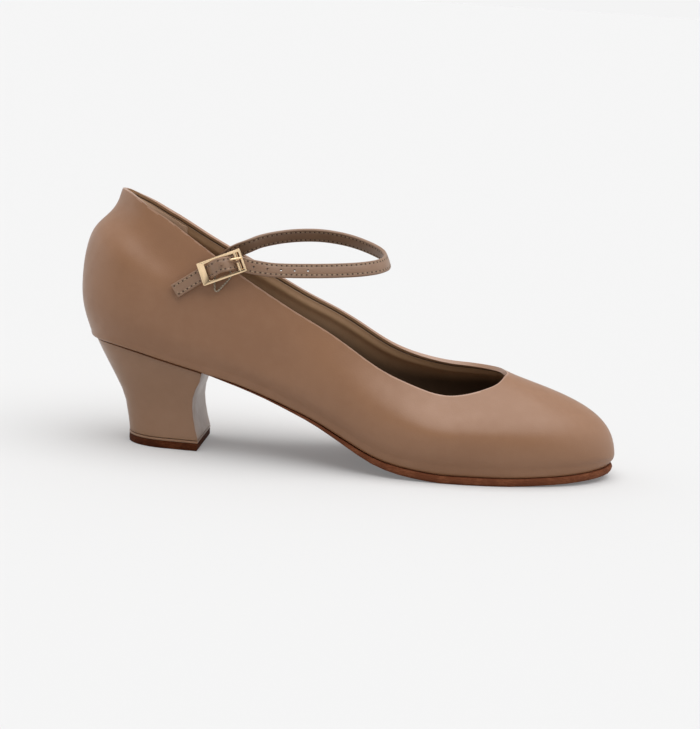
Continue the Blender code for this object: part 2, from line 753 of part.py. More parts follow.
def build_strap(look, collection, cutters):
    """The ankle strap: a flat ribbon with a row of punched holes."""
    frames = strap_frames()
    rings = []
    for point, across, out in frames:
        ring = []
        for corner in STRAP_CORNERS:
            ring.append(point + across * corner.width * STRAP_WIDTH + out * corner.depth * STRAP_THICKNESS)
        rings.append(ring)
    strap = finish_object("ankle_strap", skinned("ankle_strap", rings, around=False), look, collection)
    for number in range(HOLE_COUNT):
        cutter = hole_cutter(frames, FIRST_HOLE + number * HOLE_PITCH, cutters)
        cutter.name = f"strap_hole_{number + 1}"
        cut = strap.modifiers.new(cutter.name, "BOOLEAN")
        cut.operation = "DIFFERENCE"
        cut.object = cutter
    return strap


def hole_cutter(frames, from_tip, cutters):
    """A round punch through the strap, at a length along it from its tip."""
    walked = 0.0
    for (here, across, out), (there, _, _) in zip(reversed(frames), reversed(frames[:-1])):
        step = (there - here).length
        if walked + step >= from_tip:
            spot = here.lerp(there, (from_tip - walked) / step)
            break
        walked += step
    mesh = bpy.data.meshes.new("strap_hole")
    work = bmesh.new()
    radius = 0.5 * HOLE_DIAMETER
    bmesh.ops.create_cone(work, cap_ends=True, segments=10, radius1=radius, radius2=radius,
                          depth=3.0 * STRAP_THICKNESS)
    work.to_mesh(mesh)
    work.free()
    cutter = bpy.data.objects.new("strap_hole", mesh)
    cutter.rotation_euler = out.to_track_quat("Z", "Y").to_euler()
    cutter.location = spot
    cutter.display_type = "WIRE"
    cutter.hide_render = True
    cutters.objects.link(cutter)
    return cutter


def add_rectangle(curve, low, high):
    """A closed rectangle between two corners as a spline of a flat curve."""
    spline = curve.splines.new("POLY")
    spline.points.add(3)
    for point, corner in zip(spline.points, ((low[0], low[1]), (high[0], low[1]), high, (low[0], high[1]))):
        point.co = (*corner, 0.0, 1.0)
    spline.use_cyclic_u = True


def build_buckle_frame(look, collection):
    """The rectangular frame with its wide back bar, and the hook bar across it near the front end."""
    half = 0.5 * BUCKLE_LENGTH
    top = 0.5 * BUCKLE_HEIGHT
    hook = half - HOOK_BAR_FROM_END
    curve = bpy.data.curves.new("buckle_frame", "CURVE")
    curve.dimensions = "2D"
    curve.fill_mode = "BOTH"
    curve.extrude = 0.5 * BUCKLE_THICKNESS
    add_rectangle(curve, (-half, -top), (half, top))
    inner = top - BUCKLE_SIDE_BAR
    add_rectangle(curve, (BUCKLE_BACK_BAR - half, -inner), (hook - 0.5 * HOOK_BAR_WIDTH, inner))
    add_rectangle(curve, (hook + 0.5 * HOOK_BAR_WIDTH, -inner), (half - BUCKLE_FRONT_BAR, inner))
    curve.materials.append(look)
    frame = bpy.data.objects.new("buckle_frame", curve)
    frame.location = BUCKLE_CENTRE
    flat = Matrix.Rotation(math.pi / 2, 3, "X")
    frame.rotation_euler = (BUCKLE_TURN @ flat).to_euler()
    collection.objects.link(frame)
    weld = frame.modifiers.new("weld", "WELD")
    weld.merge_threshold = 0.00001
    bevel = frame.modifiers.new("rounded_edges", "BEVEL")
    bevel.width = BUCKLE_ROUNDING * BUCKLE_THICKNESS
    bevel.segments = 2
    return frame


def build_prong(look, collection):
    """The prong, over the hook bar and down to the strap."""
    half = 0.5 * BUCKLE_LENGTH
    radius = 0.5 * PRONG_DIAMETER
    lift = 0.5 * BUCKLE_THICKNESS + GAP + radius
    root = half - 0.5 * BUCKLE_FRONT_BAR
    hook = half - HOOK_BAR_FROM_END
    tip = hook - PRONG_REACH * HOOK_BAR_WIDTH
    curve = bpy.data.curves.new("buckle_prong", "CURVE")
    curve.dimensions = "3D"
    curve.bevel_depth = radius
    curve.bevel_resolution = 2
    curve.use_fill_caps = True
    spline = curve.splines.new("POLY")
    course = []
    for along, bend in zip((root, hook, 0.5 * (hook + tip), tip), PRONG_ROWS):
        course.append(from_buckle(along, bend.up * BUCKLE_HEIGHT, lift + bend.lift * radius))
    path = smooth_path(course, STRAP_STEPS)
    spline.points.add(len(path) - 1)
    for point, place in zip(spline.points, path):
        point.co = (*place, 1.0)
    curve.materials.append(look)
    prong = bpy.data.objects.new("buckle_prong", curve)
    collection.objects.link(prong)
    return prong


def build_elastic(look, collection):
    """The elastic loop that ties the buckle to the outside of the upper."""
    out_axis = BUCKLE_TURN @ Vector((0.0, -1.0, 0.0))
    depth = -(TUCK + 0.5 * STRAP_THICKNESS) - ELASTIC_TUCK * ELASTIC_WIDTH
    course = []
    for row in ELASTIC_ROWS:
        point = from_buckle(row.along * BUCKLE_LENGTH, row.up * BUCKLE_HEIGHT, depth)
        reach = skin_reach(point.x, point.z, -1.0) + GAP + ELASTIC_STANDOFF * ELASTIC_WIDTH
        point.y = min(point.y, -reach)
        course.append(point)
    path = smooth_path(course, STRAP_STEPS, closed=True)
    rings = []
    for k, point in enumerate(path):
        ahead = (path[(k + 1) % len(path)] - path[k - 1]).normalized()
        deep = (out_axis - ahead * out_axis.dot(ahead)).normalized()
        side = ahead.cross(deep)
        ring = []
        for w, d in ((-0.5, -0.5), (0.5, -0.5), (0.5, 0.5), (-0.5, 0.5)):
            ring.append(point + deep * w * ELASTIC_WIDTH + side * d * ELASTIC_THICKNESS)
        rings.append(ring)
    return finish_object("buckle_elastic", skinned("buckle_elastic", rings), look, collection)


def new_collection(name, hidden=False):
    """A collection under the scene's own."""
    made = bpy.data.collections.new(name)
    made.hide_render = hidden
    bpy.context.scene.collection.children.link(made)
    return made


def main():
    """Clears the scene and builds the shoe."""
    for old in list(bpy.data.objects):
        bpy.data.objects.remove(old, do_unlink=True)
    shoe = new_collection("character_shoe")
    cutters = new_collection("cutters", hidden=True)
    tan = material("tan_leather", (0.300, 0.176, 0.104), 0.42)
    lining = material("lining_leather", (0.130, 0.078, 0.045), 0.62)
    covered = material("heel_cover_leather", (0.272, 0.170, 0.108), 0.36)
    bottom = material("sole_leather", (0.105, 0.036, 0.016), 0.70)
    lift = material("lift_leather", (0.120, 0.040, 0.018), 0.60)
    strap = material("strap_leather", (0.278, 0.170, 0.108), 0.48)
    gold = material("pale_gold", (0.830, 0.640, 0.400), 0.18, metallic=1.0)
    elastic = material("elastic", (0.080, 0.068, 0.048), 0.80)
    build_upper(tan, shoe)
    build_insole(lining, shoe)
    build_outsole(bottom, shoe)
    build_heel(covered, shoe)
    build_top_lift(lift, shoe)
    build_strap(strap, shoe, cutters)
    build_buckle_frame(gold, shoe)
    build_prong(gold, shoe)
    build_elastic(elastic, shoe)


main()
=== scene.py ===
"""The looks of a right character shoe: satin tan leather, lining, sole, covered heel, stitched ankle strap
and a polished buckle, in a plain white studio.

Everything is in metres, +Z up, +X towards the toe and +Y towards the inner side of the foot, as the frame is.
"""

import logging
import math
from dataclasses import dataclass, field
from enum import Enum

import bmesh
import bpy
from mathutils import Matrix, Vector
from mathutils.bvhtree import BVHTree


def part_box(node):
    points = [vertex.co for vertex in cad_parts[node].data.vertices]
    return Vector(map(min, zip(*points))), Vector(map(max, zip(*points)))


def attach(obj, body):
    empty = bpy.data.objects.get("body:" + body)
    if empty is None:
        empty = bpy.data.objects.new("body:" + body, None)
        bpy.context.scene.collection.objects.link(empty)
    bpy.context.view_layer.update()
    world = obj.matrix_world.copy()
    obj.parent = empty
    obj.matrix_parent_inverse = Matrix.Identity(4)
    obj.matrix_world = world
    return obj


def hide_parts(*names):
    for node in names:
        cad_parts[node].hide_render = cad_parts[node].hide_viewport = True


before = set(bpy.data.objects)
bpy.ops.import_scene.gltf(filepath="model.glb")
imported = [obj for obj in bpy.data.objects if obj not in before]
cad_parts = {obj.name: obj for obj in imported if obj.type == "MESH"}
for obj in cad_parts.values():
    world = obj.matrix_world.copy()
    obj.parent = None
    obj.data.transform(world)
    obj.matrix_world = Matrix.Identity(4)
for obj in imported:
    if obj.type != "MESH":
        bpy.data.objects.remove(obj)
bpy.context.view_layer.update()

LOG = logging.getLogger("shoe")
BODY = "root"
MM = 0.001
MERGE = 2e-6
QUAD_ANGLE = math.radians(40.0)
QUAD_SHAPE = math.radians(60.0)
ROUNDING_STEPS = 3

Colour = tuple[float, float, float]
Socket = bpy.types.NodeSocket
Tree = bpy.types.NodeTree

WHITE = (1.0, 1.0, 1.0)


class Face(Enum):
    """Material slots of the upper's shell."""

    OUTSIDE = 0
    LINING = 1
    # The topline's folded edge, in a lighter leather that paints its highlight.
    FOLD = 2


class Side(Enum):
    """The strap's two broad faces."""

    OUTER = 1.0
    INNER = -1.0


# Nodes, groups and finishes


def feed(tree: Tree, node: bpy.types.Node, values: dict[str, object]) -> None:
    """Links or sets a node's inputs.

    Args:
        tree: the node's tree.
        node: the node.
        values: a socket, a number, a vector or a colour for each input's name.
    """
    for label, value in values.items():
        if isinstance(value, Socket):
            tree.links.new(value, node.inputs[label])
        else:
            node.inputs[label].default_value = (*value, 1.0) if isinstance(value, tuple) else value


def add_node(tree: Tree, kind: str, values: dict[str, object] | None = None) -> bpy.types.Node:
    """Adds a node and feeds it.

    Args:
        tree: the tree that it goes into.
        kind: the node's type.
        values: what its inputs get.

    Returns:
        The node.
    """
    node = tree.nodes.new(kind)
    feed(tree, node, values or {})
    return node


def sum_node(tree: Tree, kind: str, first: object, second: object) -> Socket:
    """Adds a Math node.

    Args:
        tree: the tree that it goes into.
        kind: the operation, such as MULTIPLY.
        first: a socket or a number.
        second: a socket or a number.

    Returns:
        The node's output socket.
    """
    node = tree.nodes.new("ShaderNodeMath")
    node.operation = kind
    for socket, value in zip(node.inputs, (first, second)):
        if isinstance(value, Socket):
            tree.links.new(value, socket)
        else:
            socket.default_value = value
    return node.outputs["Value"]


def weighted(tree: Tree, first: Socket, first_share: float, second: Socket, second_share: float) -> Socket:
    """Adds two values by their shares.

    Args:
        tree: the tree that the nodes go into.
        first: one value.
        first_share: how much of it counts.
        second: the other value.
        second_share: how much of that counts.

    Returns:
        The sum's output socket.
    """
    return sum_node(tree, "ADD", sum_node(tree, "MULTIPLY", first, first_share),
                    sum_node(tree, "MULTIPLY", second, second_share))


def ranged(tree: Tree, value: Socket, low: float, high: float, to_low: float, to_high: float) -> Socket:
    """Maps a value smoothly from one range to another, held at both ends.

    Args:
        tree: the tree that the node goes into.
        value: the socket to map.
        low: start of the source range.
        high: end of the source range.
        to_low: result at low.
        to_high: result at high.

    Returns:
        The mapped output socket.
    """
    node = add_node(tree, "ShaderNodeMapRange")
    node.interpolation_type = "SMOOTHSTEP"
    feed(tree, node, {"Value": value, "From Min": low, "From Max": high, "To Min": to_low, "To Max": to_high})
    return node.outputs["Result"]


def band(tree: Tree, value: Socket, middle: float, half: float) -> Socket:
    """A soft line: 1 where value is middle, falling to 0 at half to either side.

    Args:
        tree: the tree that the nodes go into.
        value: the socket that the line follows.
        middle: the value at the line.
        half: the line's half width.

    Returns:
        The mask's output socket.
    """
    off = sum_node(tree, "ABSOLUTE", sum_node(tree, "SUBTRACT", value, middle), 0.0)
    return ranged(tree, off, 0.0, half, 1.0, 0.0)


def noise_node(tree: Tree, vector: Socket, scale: float | Socket, detail: float) -> Socket:
    """Adds a Noise texture.

    Args:
        tree: the tree that it goes into.
        vector: the coordinates.
        scale: the pattern's scale, per metre on Object coordinates.
        detail: the number of finer layers.

    Returns:
        The noise's value socket.
    """
    values = {"Scale": scale, "Detail": detail, "Vector": vector}
    return add_node(tree, "ShaderNodeTexNoise", values).outputs["Fac"]


def blended(tree: Tree, mask: Socket, first: Colour | Socket, second: Colour) -> Socket:
    """Mixes two colours.

    Args:
        tree: the tree that the node goes into.
        mask: 0 for the first colour, 1 for the second.
        first: a colour or a socket.
        second: a colour.

    Returns:
        The mixed colour's socket.
    """
    mix = add_node(tree, "ShaderNodeMix")
    mix.data_type = "RGBA"
    feed(tree, mix, {"A": first, "B": second, "Factor": mask})
    return mix.outputs["Result"]


def bumped(
    tree: Tree,
    height: Socket,
    strength: float,
    distance: float,
    under: Socket | None = None,
    sunk: bool = False,
) -> Socket:
    """Adds a Bump node.

    Args:
        tree: the tree that it goes into.
        height: the height, from 0 to 1.
        strength: how much of the relief shows.
        distance: the relief's depth in metres.
        under: the normal of a relief below this one.
        sunk: whether height 1 is the lowest.

    Returns:
        The normal's socket.
    """
    node = add_node(tree, "ShaderNodeBump", {"Strength": strength, "Distance": distance, "Height": height})
    node.invert = sunk
    if under is not None:
        feed(tree, node, {"Normal": under})
    return node.outputs["Normal"]


def new_material(name: str) -> tuple[bpy.types.Material, Tree, bpy.types.Node, Socket]:
    """Makes a node material.

    Args:
        name: the material's name.

    Returns:
        The material, its tree, its Principled node and the Object coordinates.
    """
    made = bpy.data.materials.new(name)
    made.use_nodes = True
    tree = made.node_tree
    return made, tree, tree.nodes["Principled BSDF"], add_node(tree, "ShaderNodeTexCoord").outputs["Object"]


def new_group(
    name: str, scale_name: str, scale: float, outputs: list[str]
) -> tuple[Tree, Socket, Socket, dict[str, Socket]]:
    """Makes an empty shader group that works on Object coordinates.

    Args:
        name: the group's name.
        scale_name: name of the input for its pattern's scale.
        scale: that input's default.
        outputs: names of the float outputs.

    Returns:
        The node tree, its Vector and scale sockets, and its inputs at the output node by name.
    """
    tree = bpy.data.node_groups.new(name, "ShaderNodeTree")
    tree.interface.new_socket("Vector", in_out="INPUT", socket_type="NodeSocketVector")
    made = tree.interface.new_socket(scale_name, in_out="INPUT", socket_type="NodeSocketFloat")
    made.default_value = scale
    for label in outputs:
        tree.interface.new_socket(label, in_out="OUTPUT", socket_type="NodeSocketFloat")
    source, out = tree.nodes.new("NodeGroupInput"), tree.nodes.new("NodeGroupOutput")
    outs = {label: out.inputs[label] for label in outputs}
    return tree, source.outputs["Vector"], source.outputs[scale_name], outs


PEBBLES = 1700.0
PEBBLE_ROUNDNESS = 0.6
PEBBLE_RELIEF = -0.7
FINE_GRAIN = 2600.0
DYE_CLOUDS, DYE_SPOTS = 26.0, 210.0
DYE_CLOUD_SHARE, DYE_SPOT_SHARE = 0.65, 0.35


def grain_group() -> Tree:
    """The leather's grain: fine closed pebbles, and a slow unevenness of the dye.

    Returns:
        A group with the outputs Height and Mottle, each from 0 to 1.
    """
    tree, vector, scale, outs = new_group("leather_grain", "Pebbles per metre", PEBBLES, ["Height", "Mottle"])
    cells = add_node(tree, "ShaderNodeTexVoronoi")
    cells.feature = "SMOOTH_F1"
    feed(tree, cells, {"Smoothness": PEBBLE_ROUNDNESS, "Vector": vector, "Scale": scale})
    fine = noise_node(tree, vector, FINE_GRAIN, 3.0)
    height = sum_node(tree, "ADD", sum_node(tree, "MULTIPLY", cells.outputs["Distance"], PEBBLE_RELIEF), fine)
    tree.links.new(ranged(tree, height, -0.4, 0.8, 0.0, 1.0), outs["Height"])
    slow = noise_node(tree, vector, DYE_CLOUDS, 2.0)
    quick = noise_node(tree, vector, DYE_SPOTS, 3.0)
    mottle = weighted(tree, slow, DYE_CLOUD_SHARE, quick, DYE_SPOT_SHARE)
    tree.links.new(ranged(tree, mottle, 0.34, 0.66, 0.0, 1.0), outs["Mottle"])
    return tree


FIBRE_LAYERS = 1500.0
FIBRE_LENGTHS = (0.22, 0.22, 1.0)
FIBRE_SHARE, PIT_SHARE = 0.6, 0.4
PITS, STAINS = 1900.0, 160.0


def fibre_group() -> Tree:
    """The cut edge and flesh of sole leather: short fibres lying along the sole, with pits and stains.

    Returns:
        A group with the outputs Height and Stain, each from 0 to 1.
    """
    tree, vector, scale, outs = new_group("sole_fibre", "Layers per metre", FIBRE_LAYERS, ["Height", "Stain"])
    stretch = add_node(tree, "ShaderNodeMapping", {"Scale": Vector(FIBRE_LENGTHS), "Vector": vector})
    layers = noise_node(tree, stretch.outputs["Vector"], scale, 4.0)
    pits = noise_node(tree, vector, PITS, 2.0)
    height = weighted(tree, layers, FIBRE_SHARE, pits, PIT_SHARE)
    tree.links.new(ranged(tree, height, 0.32, 0.68, 0.0, 1.0), outs["Height"])
    stain = noise_node(tree, vector, STAINS, 4.0)
    tree.links.new(ranged(tree, stain, 0.36, 0.64, 0.0, 1.0), outs["Stain"])
    return tree


@dataclass(frozen=True)
class Leather:
    """A leather finish: its colours, grain and gloss."""

    name: str
    colour: Colour
    light: Colour
    roughness: float = 0.46
    roughness_play: float = 0.06
    grain: float = 0.35
    grain_depth: float = 0.00008
    pebbles: float = PEBBLES
    coat: float = 0.26
    coat_roughness: float = 0.28
    specular: float = 0.5
    sheen: float = 0.0
    sheen_roughness: float = 0.45

    def base(self) -> tuple[bpy.types.Material, bpy.types.Node, Socket, Socket]:
        """Makes the material with its grain.

        Returns:
            The material, its Principled node, the leather's colour and its normal.
        """
        made, tree, shader, place = new_material(self.name)
        grain = add_node(tree, "ShaderNodeGroup")
        grain.node_tree = bpy.data.node_groups.get("leather_grain") or grain_group()
        feed(tree, grain, {"Pebbles per metre": self.pebbles, "Vector": place})
        mottle = grain.outputs["Mottle"]
        colour = blended(tree, mottle, self.colour, self.light)
        normal = bumped(tree, grain.outputs["Height"], self.grain, self.grain_depth)
        feed(tree, shader, {
            "Base Color": colour,
            "Normal": normal,
            "Roughness": ranged(tree, mottle, 0.0, 1.0, self.roughness + self.roughness_play,
                                self.roughness - self.roughness_play),
            "Coat Weight": self.coat,
            "Coat Roughness": self.coat_roughness,
            "Specular IOR Level": self.specular,
            "Sheen Weight": self.sheen,
            "Sheen Roughness": self.sheen_roughness,
        })
        return made, shader, colour, normal

    def material(self) -> bpy.types.Material:
        """Makes the plain grained material."""
        return self.base()[0]


@dataclass(frozen=True)
class LinedLeather(Leather):
    """The lining: darker deep inside the shoe as painted shade, and the join under the topline's folded edge
    as a dark line, its groove darkened as painted shade.

    Its depths are in millimetres below the topline.
    """

    # deep is the colour of the painted shade inside the shoe; the join's dark line takes it too.
    deep: Colour = (0.045, 0.024, 0.011)
    painted_shade_from: float = 4.5
    painted_shade_to: float = 15.0
    painted_shade_share: float = 0.92
    join_at: float = 1.5
    join_half: float = 0.5
    join_strength: float = 0.8
    join_depth: float = 0.0004

    def material(self) -> bpy.types.Material:
        """Makes the lining's material, which reads the shell's distance below the topline and paints shade
        deeper down.

        Returns:
            The material.
        """
        made, shader, colour, normal = self.base()
        tree = made.node_tree
        below = add_node(tree, "ShaderNodeAttribute")
        below.attribute_name = "below_topline"
        depth = below.outputs["Fac"]
        # Painted shade: darker further below the topline, towards the deep colour.
        shade = ranged(tree, depth, self.painted_shade_from, self.painted_shade_to, 0.0, self.painted_shade_share)
        # The join's groove, darkened to the same colour: painted shade.
        line = band(tree, depth, self.join_at, self.join_half)
        feed(tree, shader, {
            "Base Color": blended(tree, sum_node(tree, "MAXIMUM", shade, line), colour, self.deep),
            "Normal": bumped(tree, line, self.join_strength, self.join_depth, under=normal, sunk=True),
        })
        return made


@dataclass(frozen=True)
class SoleLeather:
    """Stained sole leather with fibres, darker in its pits."""

    name: str
    colour: Colour
    light: Colour
    roughness: float = 0.72
    pit_roughness: float = 0.12
    rubbed_gloss: float = 0.08
    depth: float = 0.00035
    strength: float = 0.6
    layers: float = FIBRE_LAYERS
    specular: float = 0.12

    def material(self) -> bpy.types.Material:
        """Makes the sole leather's material.

        Returns:
            The material.
        """
        made, tree, shader, place = new_material(self.name)
        fibre = add_node(tree, "ShaderNodeGroup")
        fibre.node_tree = bpy.data.node_groups.get("sole_fibre") or fibre_group()
        feed(tree, fibre, {"Layers per metre": self.layers, "Vector": place})
        height = fibre.outputs["Height"]
        tone = sum_node(tree, "MULTIPLY", fibre.outputs["Stain"], height)
        feed(tree, shader, {
            "Base Color": blended(tree, tone, self.colour, self.light),
            "Normal": bumped(tree, height, self.strength, self.depth),
            "Roughness": ranged(tree, height, 0.0, 1.0, self.roughness + self.pit_roughness,
                                self.roughness - self.rubbed_gloss),
            "Specular IOR Level": self.specular,
        })
        return made


@dataclass(frozen=True)
class Plating:
    """Polished plating with faint rubbing marks."""

    name: str
    colour: Colour
    roughness: float = 0.13
    polish: float = 0.02
    rubbed: float = 0.05
    marks: float = 700.0
    mark_strength: float = 0.03
    mark_depth: float = 0.00005

    def material(self) -> bpy.types.Material:
        """Makes the plated metal's material.

        Returns:
            The material.
        """
        made, tree, shader, place = new_material(self.name)
        marks = noise_node(tree, place, self.marks, 4.0)
        feed(tree, shader, {
            "Base Color": self.colour,
            "Metallic": 1.0,
            "Roughness": ranged(tree, marks, 0.35, 0.7, self.roughness - self.polish,
                                self.roughness + self.rubbed),
            "Normal": bumped(tree, marks, self.mark_strength, self.mark_depth),
        })
        return made


@dataclass(frozen=True)
class Thread:
    """Twisted sewing thread or woven tape."""

    name: str
    colour: Colour
    dark: Colour
    twists: float = 320.0
    twist_play: float = 1.5
    ply_strength: float = 0.5
    ply_depth: float = 0.00008
    roughness: float = 0.75
    sheen: float = 0.25

    def material(self) -> bpy.types.Material:
        """Makes the thread's material.

        Returns:
            The material.
        """
        made, tree, shader, place = new_material(self.name)
        values = {"Scale": self.twists, "Distortion": self.twist_play, "Vector": place}
        wave = add_node(tree, "ShaderNodeTexWave", values)
        wave.bands_direction = "DIAGONAL"
        ply = wave.outputs["Fac"]
        feed(tree, shader, {
            "Base Color": blended(tree, ply, self.dark, self.colour),
            "Normal": bumped(tree, ply, self.ply_strength, self.ply_depth),
            "Roughness": self.roughness,
            "Sheen Weight": self.sheen,
        })
        return made


# Meshes


def merged_copy(node: str) -> bmesh.types.BMesh:
    """A copy of a CAD node's mesh with its corners joined and its triangles paired into quads.

    Args:
        node: the CAD node's name.

    Returns:
        The new bmesh.
    """
    work = bmesh.new()
    work.from_mesh(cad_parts[node].data)
    bmesh.ops.remove_doubles(work, verts=work.verts, dist=MERGE)
    bmesh.ops.join_triangles(work, faces=work.faces, angle_face_threshold=QUAD_ANGLE,
                             angle_shape_threshold=QUAD_SHAPE)
    return work


def sharp_edges(work: bmesh.types.BMesh, limit: float) -> list[bmesh.types.BMEdge]:
    """The edges where two faces meet at more than limit degrees."""
    least = math.radians(limit)
    return [e for e in work.edges if len(e.link_faces) == 2 and e.calc_face_angle(0.0) > least]


def rounded(
    work: bmesh.types.BMesh, edges: list[bmesh.types.BMEdge], radius: float, steps: int = ROUNDING_STEPS
) -> None:
    """Rounds some edges of a mesh.

    Args:
        work: the mesh.
        edges: the edges.
        radius: how far the rounding starts from the edge.
        steps: faces across the rounding.
    """
    bmesh.ops.bevel(work, geom=edges, offset=radius, segments=steps, profile=0.5, affect="EDGES",
                    clamp_overlap=True, material=-1)


def everything(work: bmesh.types.BMesh) -> list:
    """All of a mesh's corners, edges and faces."""
    return work.verts[:] + work.edges[:] + work.faces[:]


def zones(work: bmesh.types.BMesh, limit: float) -> list[set[bmesh.types.BMFace]]:
    """Groups the faces into zones that sharp edges bound.

    Args:
        work: the mesh.
        limit: the bounding edges' least angle, in degrees.

    Returns:
        The zones, the largest area first.
    """
    walls = set(sharp_edges(work, limit))
    left = set(work.faces)
    found = []
    for first in work.faces:
        if first not in left:
            continue
        left.discard(first)
        zone, front = {first}, [first]
        while front:
            for edge in front.pop().edges:
                if edge in walls:
                    continue
                for face in edge.link_faces:
                    if face in left:
                        left.discard(face)
                        zone.add(face)
                        front.append(face)
        found.append(zone)
    return sorted(found, key=area, reverse=True)


def area(zone: set[bmesh.types.BMFace]) -> float:
    """The area of a zone of faces."""
    return sum(face.calc_area() for face in zone)


def as_mesh(name: str, work: bmesh.types.BMesh) -> bpy.types.Mesh:
    """Turns a bmesh into a mesh and frees it."""
    mesh = bpy.data.meshes.new(name)
    work.to_mesh(mesh)
    work.free()
    return mesh


def applied(holder: bpy.types.Object) -> bpy.types.Mesh:
    """A new mesh with an object's modifiers applied."""
    graph = bpy.context.evaluated_depsgraph_get()
    return bpy.data.meshes.new_from_object(holder.evaluated_get(graph), depsgraph=graph)


def held(name: str, data: bpy.types.ID) -> bpy.types.Object:
    """Puts a mesh, light or camera into the scene in a new object."""
    made = bpy.data.objects.new(name, data)
    bpy.context.scene.collection.objects.link(made)
    return made


def subdivided(name: str, mesh: bpy.types.Mesh, levels: int) -> bpy.types.Mesh:
    """Rounds a mesh with Subdivision Surface and keeps the result.

    Args:
        name: the new mesh's name.
        mesh: the mesh to round.
        levels: how many times each face is cut.

    Returns:
        The rounded mesh.
    """
    holder = held(name, mesh)
    smooth = holder.modifiers.new("round", "SUBSURF")
    smooth.levels = smooth.render_levels = levels
    made = applied(holder)
    bpy.data.objects.remove(holder)
    made.name = name
    return made


def cut_from(mesh: bpy.types.Mesh, cutters: bpy.types.Mesh) -> bpy.types.Mesh:
    """Cuts one mesh from another.

    Args:
        mesh: what is cut.
        cutters: the closed shapes that cut it.

    Returns:
        The cut mesh.
    """
    holder, tool = held("cut", mesh), held("cutters", cutters)
    cut = holder.modifiers.new("cut", "BOOLEAN")
    cut.operation = "DIFFERENCE"
    cut.solver = "EXACT"
    cut.object = tool
    made = applied(holder)
    for old in (holder, tool):
        bpy.data.objects.remove(old)
    return made


def piece(
    name: str,
    mesh: bpy.types.Mesh,
    looks: list[bpy.types.Material],
    replaced: tuple[str, ...] = (),
    sharp: float = 40.0,
) -> None:
    """Puts a finished mesh into the scene on the shoe's body.

    Args:
        name: the piece's name.
        mesh: its mesh, in the frame's own place.
        looks: its materials, in slot order.
        replaced: the CAD nodes that it stands for.
        sharp: edges over this many degrees keep a crisp shade.
    """
    for number, look in enumerate(looks):
        if number < len(mesh.materials):
            mesh.materials[number] = look
        else:
            mesh.materials.append(look)
    mesh.shade_smooth()
    mesh.set_sharp_from_angle(angle=math.radians(sharp))
    made = held(name, mesh)
    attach(made, BODY)
    if replaced:
        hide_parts(*replaced)
    LOG.info("%s: %d faces", name, len(mesh.polygons))


def falloff(distance: float, width: float) -> float:
    """A soft bell: 1 at no distance, about a third at width."""
    return math.exp(-((distance / width) ** 2))


def level(vector: Vector) -> Vector:
    """The part of a vector that lies level."""
    return Vector((*vector.xy, 0.0))


@dataclass(frozen=True)
class Crease:
    """A soft trough or ridge along a straight line in the shoe's side view."""

    start: tuple[float, float]
    end: tuple[float, float]
    width: float
    depth: float

    def at(self, point: Vector) -> float:
        """How far the crease moves the leather outward at a point.

        Args:
            point: a point of the shell.

        Returns:
            The move along the normal, in metres; below zero sinks.
        """
        a, b = Vector(self.start), Vector(self.end)
        here = Vector((point.x, point.z))
        share = min(max((here - a).dot(b - a) / (b - a).length_squared, 0.0), 1.0)
        return self.depth * falloff((here - a.lerp(b, share)).length, self.width)


